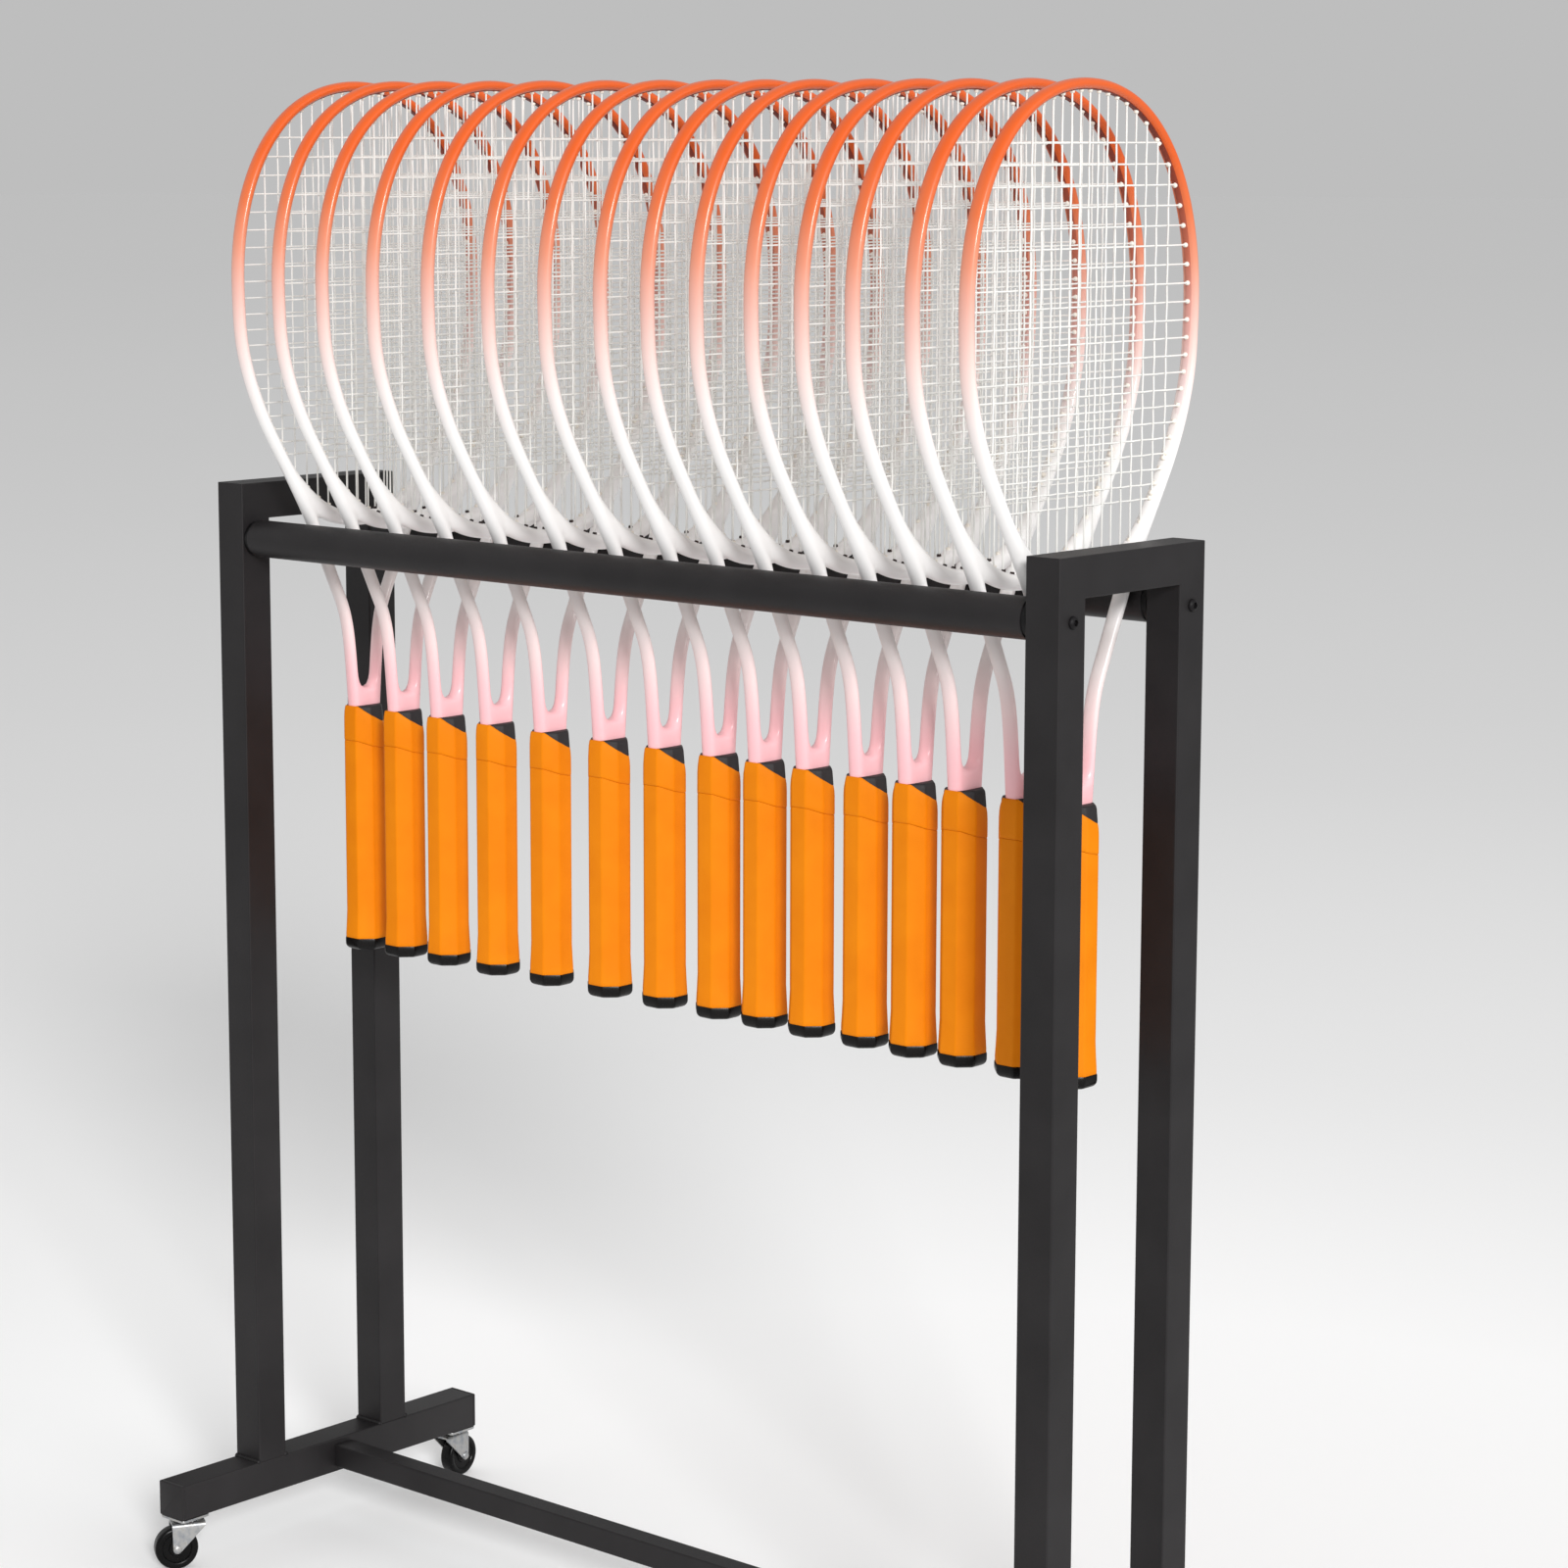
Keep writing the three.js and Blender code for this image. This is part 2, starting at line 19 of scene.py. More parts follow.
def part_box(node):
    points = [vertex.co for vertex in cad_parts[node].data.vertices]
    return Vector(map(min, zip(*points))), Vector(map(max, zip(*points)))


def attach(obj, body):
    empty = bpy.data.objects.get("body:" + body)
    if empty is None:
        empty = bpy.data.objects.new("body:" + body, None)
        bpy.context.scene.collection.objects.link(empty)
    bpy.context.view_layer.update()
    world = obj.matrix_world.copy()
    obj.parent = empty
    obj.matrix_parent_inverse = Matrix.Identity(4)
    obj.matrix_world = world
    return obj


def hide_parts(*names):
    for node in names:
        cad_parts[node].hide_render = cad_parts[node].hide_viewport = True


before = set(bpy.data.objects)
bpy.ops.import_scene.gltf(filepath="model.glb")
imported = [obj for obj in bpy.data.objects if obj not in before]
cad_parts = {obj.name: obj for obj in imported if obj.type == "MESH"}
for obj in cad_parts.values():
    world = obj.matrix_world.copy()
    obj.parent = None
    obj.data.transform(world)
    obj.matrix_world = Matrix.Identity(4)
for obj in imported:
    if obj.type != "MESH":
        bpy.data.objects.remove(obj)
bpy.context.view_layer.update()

MM = 0.001
log = logging.getLogger("racket_stand")

Point = tuple[float, float]
Stops = tuple[tuple[float, str], ...]
Thing = bpy.types.Object
Material = bpy.types.Material
Tree = bpy.types.NodeTree
Node = bpy.types.Node
Socket = bpy.types.NodeSocket

# Where most of a noise's values lie.
NOISE_LOW, NOISE_HIGH = 0.3, 0.7
# Share of its width that a square bar keeps when it is subdivided twice.
KEPT_WIDTH = 0.9167


class Side(Enum):
    """A side of the stand, with the sign of its place."""

    @property
    def label(self) -> str:
        """The side's name, as the pieces' names give it."""
        return self.name.lower()


class End(Side):
    """The two ends of the stand, with the sign of their X."""

    LEFT = -1
    RIGHT = 1


class Row(Side):
    """The front and the rear of the stand, with the sign of their Y."""

    FRONT = -1
    REAR = 1


class Slot(Enum):
    """The record's material slots."""

    POWDER_COAT = "powder_coated_steel"
    BLACK_ZINC = "black_zinc_steel"
    BRIGHT_ZINC = "bright_zinc_steel"
    RUBBER = "wheel_rubber"
    LACQUER = "racket_lacquer"
    TAPE = "grip_tape"


# Colours and nodes


def linear(code: str) -> tuple[float, float, float, float]:
    """Turns an sRGB hex colour into the linear values that shaders take.

    Args:
        code: The colour as "#rrggbb".

    Returns:
        Linear red, green and blue, with an alpha of 1.
    """
    channels = [int(code[i:i + 2], 16) / 255 for i in (1, 3, 5)]
    values = [c / 12.92 if c <= 0.04045 else ((c + 0.055) / 1.055) ** 2.4 for c in channels]
    return (values[0], values[1], values[2], 1.0)


def wire(tree: Tree, node: Node, inputs: dict[str | int, object]) -> Node:
    """Links or sets a node's inputs.

    Args:
        tree: The node's tree.
        node: The node.
        inputs: By socket name or number, a socket to link from, a node for its first output, or a value.

    Returns:
        The node.
    """
    for key, given in inputs.items():
        source = given.outputs[0] if isinstance(given, Node) else given
        if isinstance(source, Socket):
            tree.links.new(source, node.inputs[key])
        else:
            node.inputs[key].default_value = source
    return node


def add(tree: Tree, kind: str, inputs: dict[str | int, object] | None = None, **settings: object) -> Node:
    """Adds a node with its settings, and links or sets its inputs.

    Args:
        tree: The tree that gets the node.
        kind: Blender's type name of the node.
        inputs: What each input is linked or set to.
        settings: Properties of the node.

    Returns:
        The new node.
    """
    node = tree.nodes.new(kind)
    for name, value in settings.items():
        setattr(node, name, value)
    return wire(tree, node, inputs or {})


def shaded(tree: Tree, value: Socket | Node, stops: Stops, span: Point = (0.0, 1.0),
           unit: float = 1.0) -> Node:
    """Colours a value through a ramp.

    Args:
        tree: The material's tree.
        value: What picks the colour.
        stops: Place and colour of each stop.
        span: The places at which the ramp starts and ends.
        unit: How much of the value goes into one unit of the places.

    Returns:
        The ramp.
    """
    low, high = span
    share = add(tree, "ShaderNodeMapRange", {"Value": value, "From Min": low * unit, "From Max": high * unit})
    ramp = add(tree, "ShaderNodeValToRGB", {"Fac": share})
    elements = ramp.color_ramp.elements
    elements.remove(elements[1])
    for i, (place, code) in enumerate(stops):
        where = (place - low) / (high - low)
        stop = elements[0] if i == 0 else elements.new(where)
        stop.position = where
        stop.color = linear(code)
    return ramp


def per_metre(size_mm: float) -> float:
    """Scale of a pattern whose features are size_mm apart."""
    return 1 / (size_mm * MM)


@dataclass(frozen=True)
class Grain:
    """A noise on Object coordinates whose features are size_mm apart.

    Its detail counts the finer octaves, and a stretch below 1 draws it out along that axis.
    """

    size_mm: float
    detail: float = 2.0
    stretch: tuple[float, float, float] = (1.0, 1.0, 1.0)

    def pattern(self, tree: Tree) -> Node:
        """Adds the noise to a material.

        Args:
            tree: The material's tree.

        Returns:
            The noise node.
        """
        place = add(tree, "ShaderNodeTexCoord").outputs["Object"]
        drawn = add(tree, "ShaderNodeMapping", {"Vector": place, "Scale": self.stretch})
        return add(tree, "ShaderNodeTexNoise", {"Vector": drawn, "Detail": self.detail,
                                                "Scale": per_metre(self.size_mm)})


@dataclass(frozen=True)
class Finish:
    """What every finish has.

    Its colour drifts through the shades with the cloud. The grain moves the roughness between two
    values and stands out of the surface by depth_mm.
    """

    name: str
    shades: Stops
    cloud: Grain | None = None
    roughness: Point = (0.5, 0.5)
    grain: Grain | None = None
    depth_mm: float = 0.0
    metallic: float = 0.0
    specular: float = 0.5
    coat: float = 0.0
    coat_roughness: float = 0.12

    def colour(self, tree: Tree) -> Node:
        """The ramp that colours the surface."""
        return shaded(tree, self.cloud.pattern(tree), self.shades)

    def height(self, tree: Tree) -> Node:
        """The pattern that stands out of the surface."""
        return self.grain.pattern(tree)

    @cache
    def build(self) -> Material:
        """Makes the material, once for each finish.

        Returns:
            The material.
        """
        material = bpy.data.materials.new(self.name)
        material.use_nodes = True
        material.diffuse_color = linear(self.shades[0][1])
        tree = material.node_tree
        shader = tree.nodes["Principled BSDF"]
        wire(tree, shader, {"Base Color": self.colour(tree), "Roughness": self.roughness[0],
                            "Metallic": self.metallic, "Specular IOR Level": self.specular,
                            "Coat Weight": self.coat, "Coat Roughness": self.coat_roughness})
        if self.grain:
            wire(tree, shader, {"Roughness": add(tree, "ShaderNodeMapRange", {
                "Value": self.grain.pattern(tree), "From Min": NOISE_LOW, "From Max": NOISE_HIGH,
                "To Min": self.roughness[0], "To Max": self.roughness[1]})})
        if self.depth_mm:
            wire(tree, shader, {"Normal": add(tree, "ShaderNodeBump", {
                "Height": self.height(tree), "Distance": self.depth_mm * MM, "Strength": 1.0})})
        return material


@dataclass(frozen=True)
class PowderCoat(Finish):
    """Satin polyester powder coat, sprayed on steel and baked.

    To the eye: charcoal, with the faint orange peel of baked powder and soft broad highlights.
    """

    name: str = "powder_coated_steel"
    shades: Stops = ((0.3, "#191718"), (0.7, "#211f20"))
    cloud: Grain = Grain(60, 3.0)
    roughness: Point = (0.46, 0.58)
    grain: Grain = Grain(0.5, 0.0)
    depth_mm: float = 0.035
    specular: float = 0.25
    peel: Grain = Grain(1.6, 1.0)

    def height(self, tree: Tree) -> Node:
        """The orange peel."""
        return self.peel.pattern(tree)


@dataclass(frozen=True)
class PaintedShadeWeldCoat(PowderCoat):
    """Powder coat on the weld beads.

    To the eye: a shade darker than on the tube, a painted shade where the post meets the foot beam.
    """

    name: str = "powder_coated_weld"
    # Darker than the tube's coat: painted shade where the post meets the foot beam.
    shades: Stops = ((0.3, "#100e0f"), (0.7, "#171516"))


@dataclass(frozen=True)
class BrightZinc(Finish):
    """Bright zinc plate on pressed steel.

    To the eye: cool silver, with a slightly cloudy gloss and fine rolling lines. The real lines are
    finer, and are drawn coarse enough to show.
    """

    name: str = "bright_zinc_steel"
    shades: Stops = ((0.3, "#94989d"), (0.55, "#b0b0af"), (0.75, "#a19e98"))
    cloud: Grain = Grain(5, 3.0)
    roughness: Point = (0.3, 0.46)
    grain: Grain = Grain(0.6, 1.0, (1.0, 1.0, 0.08))
    depth_mm: float = 0.012
    metallic: float = 1.0


@dataclass(frozen=True)
class BlackZinc(Finish):
    """Black passivated zinc on bolts.

    To the eye: near black metal with a dull glint on its edges.
    """

    name: str = "black_zinc_steel"
    shades: Stops = ((0.35, "#121112"), (0.65, "#1c1a1c"))
    cloud: Grain = Grain(1.5)
    roughness: Point = (0.44, 0.6)
    grain: Grain = Grain(1.5)
    metallic: float = 0.4
    specular: float = 0.25


@dataclass(frozen=True)
class WheelRubber(Finish):
    """Moulded rubber of a wheel's tread.

    To the eye: the deepest black, with a low shine where it is worn smooth. The grain of this and
    the other mouldings is finer in reality, and is drawn coarse enough to show.
    """

    name: str = "wheel_rubber"
    shades: Stops = ((0.35, "#050505"), (0.9, "#0d0d0d"))
    cloud: Grain = Grain(9, 3.0)
    roughness: Point = (0.17, 0.35)
    grain: Grain = Grain(0.8)
    depth_mm: float = 0.008
    specular: float = 0.14


@dataclass(frozen=True)
class MouldedNylon(WheelRubber):
    """Injection-moulded black nylon of the rails' collars.

    To the eye: black, with a fine spark-eroded grain that breaks up its highlights.
    """

    name: str = "moulded_nylon"
    shades: Stops = ((0.35, "#080808"), (0.9, "#131214"))
    roughness: Point = (0.37, 0.55)
    grain: Grain = Grain(0.4)
    depth_mm: float = 0.015
    specular: float = 0.2


@dataclass(frozen=True)
class GrommetNylon(WheelRubber):
    """Injection-moulded dark nylon of the bridge's grommets.

    To the eye: brown black with a soft gloss.
    """

    name: str = "grommet_nylon"
    shades: Stops = ((0.35, "#2a1614"), (0.9, "#242225"))
    roughness: Point = (0.32, 0.5)
    grain: Grain = Grain(0.4)
    depth_mm: float = 0.01
    specular: float = 0.35


@dataclass(frozen=True)
class GripRubber(WheelRubber):
    """Stretched rubber band over the end of the grip tape.

    To the eye: matt charcoal.
    """

    name: str = "grip_rubber"
    shades: Stops = ((0.35, "#262324"), (0.9, "#242225"))
    roughness: Point = (0.54, 0.72)
    grain: Grain = Grain(0.6)
    depth_mm: float = 0.03
    specular: float = 0.35


@dataclass(frozen=True)
class CapPlastic(WheelRubber):
    """Injection-moulded ABS of the butt caps.

    To the eye: a warm deep black with a soft shine.
    """

    name: str = "butt_cap_plastic"
    shades: Stops = ((0.35, "#050404"), (0.9, "#0e0c0b"))
    roughness: Point = (0.22, 0.4)
    grain: Grain = Grain(0.6)
    specular: float = 0.2


@dataclass(frozen=True)
class FadingLacquer(Finish):
    """Gloss lacquer sprayed in a fade on a graphite frame, under a clear coat.

    To the eye: orange at the crown, through salmon to white at the shoulders, then pink at the throat,
    with a thin highlight over a very faint pearl. Between the rails the white is greyed by a painted
    shadow of the rails, which the lacquer itself does not have.
    The pearl's flakes are finer in reality, and are drawn coarse enough to show. Its shades are
    placed by their height in millimetres.
    """

    name: str = "fading_lacquer"
    shades: Stops = (
        # 782, 804 and 824 mm: painted shadow of the rails, greying the white between them.
        (700, "#f6bbc0"), (722, "#f4c2c6"), (752, "#eed2d1"), (782, "#ded3d1"), (804, "#cdc5c3"),
        (824, "#e4e0df"), (840, "#efedec"), (918, "#f1efed"), (955, "#efe4e1"), (990, "#eccdc6"),
        (1024, "#e4b0a3"), (1058, "#dc8c70"), (1092, "#d66b3c"), (1130, "#d55818"),
    )
    roughness: Point = (0.3, 0.4)
    grain: Grain = Grain(0.7, 1.0)
    specular: float = 0.3
    coat: float = 0.3
    span: Point = (690.0, 1190.0)

    def colour(self, tree: Tree) -> Node:
        """The ramp that colours the surface by its height.

        Args:
            tree: The material's tree.

        Returns:
            The ramp.
        """
        place = add(tree, "ShaderNodeTexCoord").outputs["Object"]
        height = add(tree, "ShaderNodeSeparateXYZ", {0: place}).outputs["Z"]
        return shaded(tree, height, self.shades, self.span, MM)


@dataclass(frozen=True)
class StripNylon(FadingLacquer):
    """Grommet strip of moulded nylon, tinted with the frame.

    To the eye: a dusty pink white at the sides, growing dark red-brown towards the crown, satin. The
    dark red-brown is partly the frame's tint and partly painted shade of the hoop's inner side.
    """

    name: str = "grommet_strip_nylon"
    # Darker towards the crown: partly the frame's tint, partly painted shade of the hoop's inner side.
    shades: Stops = ((930, "#efe6e4"), (965, "#e2cfcd"), (1010, "#d4a098"), (1060, "#b8664f"),
                     (1110, "#8e3c28"), (1160, "#6a2419"))
    roughness: Point = (0.41, 0.51)
    coat: float = 0.0


@dataclass(frozen=True)
class StringNylon(Finish):
    """Extruded nylon string.

    To the eye: slightly translucent white with a thin bright line along it.
    """

    name: str = "string_nylon"
    shades: Stops = ((0.3, "#e0dfdb"), (0.7, "#e9e8e4"))
    cloud: Grain = Grain(14)
    roughness: Point = (0.34, 0.34)


@dataclass(frozen=True)
class ClearNylon(Finish):
    """Natural nylon, injection-moulded.

    To the eye: milky cream with a soft gloss.
    """

    name: str = "natural_nylon"
    shades: Stops = ((0.3, "#ece4d8"), (0.7, "#f4eee4"))
    cloud: Grain = Grain(3)
    roughness: Point = (0.4, 0.4)


@dataclass(frozen=True)
class GripTape(Finish):
    """Cushioned polyurethane grip tape.

    To the eye: warm clear orange, nearly matt, with a leather-like grain and rows of tiny pores.
    """

    name: str = "grip_tape"
    shades: Stops = ((0.3, "#db7900"), (0.7, "#e18003"))
    cloud: Grain = Grain(26)
    roughness: Point = (0.54, 0.66)
    grain: Grain = Grain(0.9, 3.0)
    depth_mm: float = 0.05
    specular: float = 0.12
    pore_pitch_mm: float = 2.6
    pore: Point = (0.08, 0.2)
    grain_share: float = 0.35

    def height(self, tree: Tree) -> Node:
        """The grain with a pit at each pore.

        Args:
            tree: The material's tree.

        Returns:
            The pattern.
        """
        place = add(tree, "ShaderNodeTexCoord").outputs["Object"]
        pores = add(tree, "ShaderNodeTexVoronoi", {"Vector": place, "Randomness": 0.15,
                                                   "Scale": per_metre(self.pore_pitch_mm)})
        pit = add(tree, "ShaderNodeMapRange", {"Value": pores.outputs["Distance"], "From Min": self.pore[0],
                                               "From Max": self.pore[1]})
        skin = add(tree, "ShaderNodeMath", {0: self.grain.pattern(tree), 1: self.grain_share},
                   operation="MULTIPLY")
        return add(tree, "ShaderNodeMath", {0: skin, 1: pit}, operation="ADD")


@dataclass(frozen=True)
class BackgroundPaper(Finish):
    """Matt background paper.

    To the eye: without any shine. Its shades are a painted pool of lamp light, near white round the
    stand and pale grey far away, placed by their distance from the middle, in metres.
    """

    name: str = "studio_floor"
    # Painted pool of lamp light: brightest near the middle, greyer with distance.
    shades: Stops = (
        (0.9, "#fafafa"), (1.5, "#eeeeee"), (1.9, "#e7e7e7"), (2.6, "#e1e1e1"), (3.4, "#dbdbdb"),
        (4.2, "#d5d5d5"), (5.2, "#d1d1d1"), (7.0, "#cdcdcd"), (9.2, "#c9c9c9"), (12.0, "#c6c6c6"),
        (20.0, "#c2c2c2"), (28.0, "#c0c0c0"), (46.0, "#bfbfbf"),
    )
    roughness: Point = (1.0, 1.0)
    specular: float = 0.0
    middle: tuple[float, float, float] = (0.15, 0.13, 0.0)

    def colour(self, tree: Tree) -> Node:
        """The ramp that colours the paper by its distance.

        Args:
            tree: The material's tree.

        Returns:
            The ramp.
        """
        place = add(tree, "ShaderNodeTexCoord").outputs["Object"]
        out = add(tree, "ShaderNodeVectorMath", {0: place, 1: self.middle}, operation="SUBTRACT")
        away = add(tree, "ShaderNodeVectorMath", {0: out}, operation="LENGTH").outputs["Value"]
        return shaded(tree, away, self.shades, (0.0, self.shades[-1][0]))


# Meshes


def put(name: str, data: bpy.types.ID) -> Thing:
    """Puts an object in the scene.

    Args:
        name: Its name.
        data: Its mesh, lamp or camera.

    Returns:
        The object.
    """
    thing = bpy.data.objects.new(name, data)
    bpy.context.scene.collection.objects.link(thing)
    return thing


def at(place: Sequence[float], degrees: float = 0.0, axis: str = "Z") -> Matrix:
    """A turn about an axis, and then a move to a place."""
    return Matrix.Translation(place) @ Matrix.Rotation(math.radians(degrees), 4, axis)


def circle(radius: float, height: float, count: int) -> list[Vector]:
    """Points round the Z axis at a height."""
    turns = [math.tau * i / count for i in range(count)]
    return [Vector((radius * math.cos(turn), radius * math.sin(turn), height)) for turn in turns]


def arc(centre: Sequence[float], radius: float, start: float, sweep: float, steps: int) -> list[Vector]:
    """Points on an arc from one end to the other, with its angles in radians."""
    turns = [start + sweep * i / steps for i in range(steps + 1)]
    return [Vector(centre) + radius * Vector((math.cos(turn), math.sin(turn))) for turn in turns]


@dataclass
class Shell:
    """Corners, in millimetres, and faces of a piece in the making."""

    corners: list[Vector] = field(default_factory=list)
    faces: list[tuple[int, ...]] = field(default_factory=list)

    def loft(self, rings: Sequence[Sequence[Sequence[float]]], looped: bool = False) -> "Shell":
        """Joins rings of one count with faces.

        Args:
            rings: Rings of points, each closed on itself.
            looped: True if the last ring joins the first, False if both are filled.

        Returns:
            This shell.
        """
        start, count = len(self.corners), len(rings[0])
        for ring in rings:
            self.corners.extend(Vector(point) for point in ring)
        for i in range(len(rings) if looped else len(rings) - 1):
            low, high = start + i * count, start + (i + 1) % len(rings) * count
            for j in range(count):
                k = (j + 1) % count
                self.faces.append((low + j, low + k, high + k, high + j))
        if not looped:
            last = start + (len(rings) - 1) * count
            self.faces.append(tuple(reversed(range(start, start + count))))
            self.faces.append(tuple(range(last, last + count)))
        return self

    def turn(self, profile: Sequence[Point], facets: int, looped: bool = False) -> "Shell":
        """Turns a profile round the Z axis.

        Args:
            profile: Radius and height of each point.
            facets: Flats round the axis.
            looped: True if the profile is a closed line, as of a ring.

        Returns:
            This shell.
        """
        return self.loft([circle(radius, height, facets) for radius, height in profile], looped)

    def moved(self, matrix: Matrix) -> "Shell":
        """This shell's copy, moved by a matrix."""
        return Shell([matrix @ corner for corner in self.corners], list(self.faces))

    def joined(self, others: Iterable["Shell"]) -> "Shell":
        """Adds other shells to this one.

        Args:
            others: The other shells.

        Returns:
            This shell.
        """
        for other in others:
            start = len(self.corners)
            self.corners.extend(other.corners)
            self.faces.extend(tuple(start + i for i in face) for face in other.faces)
        return self

    def piece(self, name: str, finish: Finish, sharp: float = 38.0) -> Thing:
        """Makes the mesh object, with its faces out.

        Args:
            name: The piece's name.
            finish: Its finish.
            sharp: Angle in degrees over which an edge stays crisp.

        Returns:
            The object, in metres.
        """
        touching = 0.002
        mesh = bpy.data.meshes.new(name)
        mesh.from_pydata([corner * MM for corner in self.corners], [], self.faces)
        shape = bmesh.new()
        shape.from_mesh(mesh)
        bmesh.ops.remove_doubles(shape, verts=shape.verts, dist=touching * MM)
        bmesh.ops.recalc_face_normals(shape, faces=shape.faces)
        for face in shape.faces:
            face.smooth = True
        for edge in shape.edges:
            edge.smooth = len(edge.link_faces) != 2 or edge.calc_face_angle(0) < math.radians(sharp)
        shape.to_mesh(mesh)
        shape.free()
        mesh.materials.append(finish.build())
        return put(name, mesh)


def rounded_square(side: float, corner: float, steps: int = 4, lead: float = 0.5) -> list[Point]:
    """Outline of a square tube with round corners.

    Args:
        side: Width of the square.
        corner: Radius of its corners.
        steps: Flats in each corner.
        lead: How far a flat's shading is held clear of the corner.

    Returns:
        The outline, counter-clockwise.
    """
    reach = side / 2 - corner
    outline = []
    for quarter, (x, y) in enumerate(((1, 1), (-1, 1), (-1, -1), (1, -1))):
        turn = math.pi / 2 * quarter
        before = Vector((math.sin(turn), -math.cos(turn)))
        after = Vector((-math.cos(turn), -math.sin(turn)))
        bend = arc((x * reach, y * reach), corner, turn, math.pi / 2, steps)
        outline.extend([bend[0] + before * lead, *bend, bend[-1] + after * lead])
    return [(p.x, p.y) for p in outline]


def bar(side: float, corner: float, start: float, end: float, edge: float) -> Shell:
    """Square bar along Z with softened end edges.

    Args:
        side: Its width.
        corner: Radius of its long edges.
        start: Height of its lower end.
        end: Height of its upper end.
        edge: Size of the softening at the ends.

    Returns:
        The closed shell.
    """
    soft = [(0.0, edge), (edge * 0.3, edge * 0.3), (edge, 0.0), (edge * 2, 0.0)]
    levels = [(start + rise, draw_in) for rise, draw_in in soft]
    levels += [(end - rise, draw_in) for rise, draw_in in reversed(soft)]
    rings = []
    for height, draw_in in levels:
        outline = rounded_square(side - draw_in * 2, max(corner - draw_in, 0.2))
        rings.append([(x, y, height) for x, y in outline])
    return Shell().loft(rings)


def plain(piece: Thing) -> Thing:
    """Turns a piece's modifiers into its own mesh.

    Args:
        piece: The piece.

    Returns:
        The same piece, without modifiers.
    """
    graph = bpy.context.evaluated_depsgraph_get()
    mesh = bpy.data.meshes.new_from_object(piece.evaluated_get(graph), preserve_all_data_layers=True,
                                           depsgraph=graph)
    old = piece.data
    piece.modifiers.clear()
    piece.data = mesh
    mesh.name = piece.name
    bpy.data.meshes.remove(old)
    return piece


def rides(piece: Thing, body: str, stands_for: Sequence[str] = ()) -> Thing:
    """Hands a finished piece to the frame.

    Args:
        piece: The piece.
        body: The CAD body that it moves with.
        stands_for: CAD nodes that it replaces.

    Returns:
        The piece.
    """
    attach(piece, body)
    if stands_for:
        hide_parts(*stands_for)
    log.info("%s: %d faces on %s", piece.name, len(piece.data.polygons), body)
    return piece


# Geometry Nodes trees


def new_tree(name: str, inputs: Sequence[tuple[str, str, object]]) -> tuple[Tree, Node]:
    """Starts a Geometry Nodes tree with named inputs.

    Args:
        name: The tree's name.
        inputs: Name, type and default of each input besides the guide and the finish.

    Returns:
        The tree and its input node.
    """
    tree = bpy.data.node_groups.new(name, "GeometryNodeTree")
    tree.interface.new_socket("Guide", in_out="INPUT", socket_type="NodeSocketGeometry")
    for label, kind, default in inputs:
        socket = tree.interface.new_socket(label, in_out="INPUT", socket_type=f"NodeSocket{kind}")
        socket.default_value = default
    tree.interface.new_socket("Finish", in_out="INPUT", socket_type="NodeSocketMaterial")
    tree.interface.new_socket("Geometry", in_out="OUTPUT", socket_type="NodeSocketGeometry")
    return tree, add(tree, "NodeGroupInput")


def end_tree(tree: Tree, given: Node, made: Node) -> Tree:
    """Ends a tree in Realize Instances and Set Material.

    Args:
        tree: The tree.
        given: Its input node.
        made: The node that gives the geometry.

    Returns:
        The tree.
    """
    real = add(tree, "GeometryNodeRealizeInstances", {"Geometry": made})
    smooth = add(tree, "GeometryNodeSetShadeSmooth", {"Geometry": real})
    dressed = add(tree, "GeometryNodeSetMaterial", {"Geometry": smooth, "Material": given.outputs["Finish"]})
    add(tree, "NodeGroupOutput", {0: dressed})
    return tree


def grow(name: str, tree: Tree, values: dict[str, object], points: Sequence[Sequence[float]],
         edges: Sequence[tuple[int, int]] = (), **attributes: Sequence[object]) -> Thing:
    """Runs a tree on guide points or lines, and keeps the result as a plain mesh.

    Args:
        name: The piece's name.
        tree: The Geometry Nodes tree.
        values: Value of each named input.
        points: Places in millimetres.
        edges: Pairs of points that are joined.
        attributes: A number or a direction for each point, by name.

    Returns:
        The piece.
    """
    mesh = bpy.data.meshes.new(name)
    mesh.from_pydata([Vector(point) * MM for point in points], list(edges), [])
    for label, items in attributes.items():
        kind, key = ("FLOAT_VECTOR", "vector") if isinstance(items[0], Vector) else ("FLOAT", "value")
        layer = mesh.attributes.new(label, kind, "POINT")
        for place, item in zip(layer.data, items):
            setattr(place, key, item)
    piece = put(name, mesh)
    modifier = piece.modifiers.new(tree.name, "NODES")
    modifier.node_group = tree
    for item in tree.interface.items_tree:
        if item.in_out == "INPUT" and item.name in values:
            modifier[item.identifier] = values[item.name]
    return plain(piece)


@cache
def string_tree() -> Tree:
    """Tree that draws woven strings along guide lines.

    Returns:
        The tree; each guide point's number named over says to which side it passes.
    """
    tree, given = new_tree("woven_strings", [
        ("Thickness", "Float", 0.0013), ("Weave", "Float", 0.0006), ("Sides", "Int", 6)])
    over = add(tree, "GeometryNodeInputNamedAttribute", {"Name": "over"}, data_type="FLOAT")
    lift = add(tree, "ShaderNodeMath", {0: over.outputs["Attribute"], 1: given.outputs["Weave"]},
               operation="MULTIPLY")
    offset = add(tree, "ShaderNodeCombineXYZ", {"X": lift})
    woven = add(tree, "GeometryNodeSetPosition", {"Geometry": given.outputs["Guide"], "Offset": offset})
    lines = add(tree, "GeometryNodeMeshToCurve", {"Mesh": woven})
    half = add(tree, "ShaderNodeMath", {0: given.outputs["Thickness"], 1: 0.5}, operation="MULTIPLY")
    ring = add(tree, "GeometryNodeCurvePrimitiveCircle", {"Resolution": given.outputs["Sides"],
                                                          "Radius": half})
    tubes = add(tree, "GeometryNodeCurveToMesh", {"Curve": lines, "Profile Curve": ring, "Fill Caps": True})
    return end_tree(tree, given, tubes)


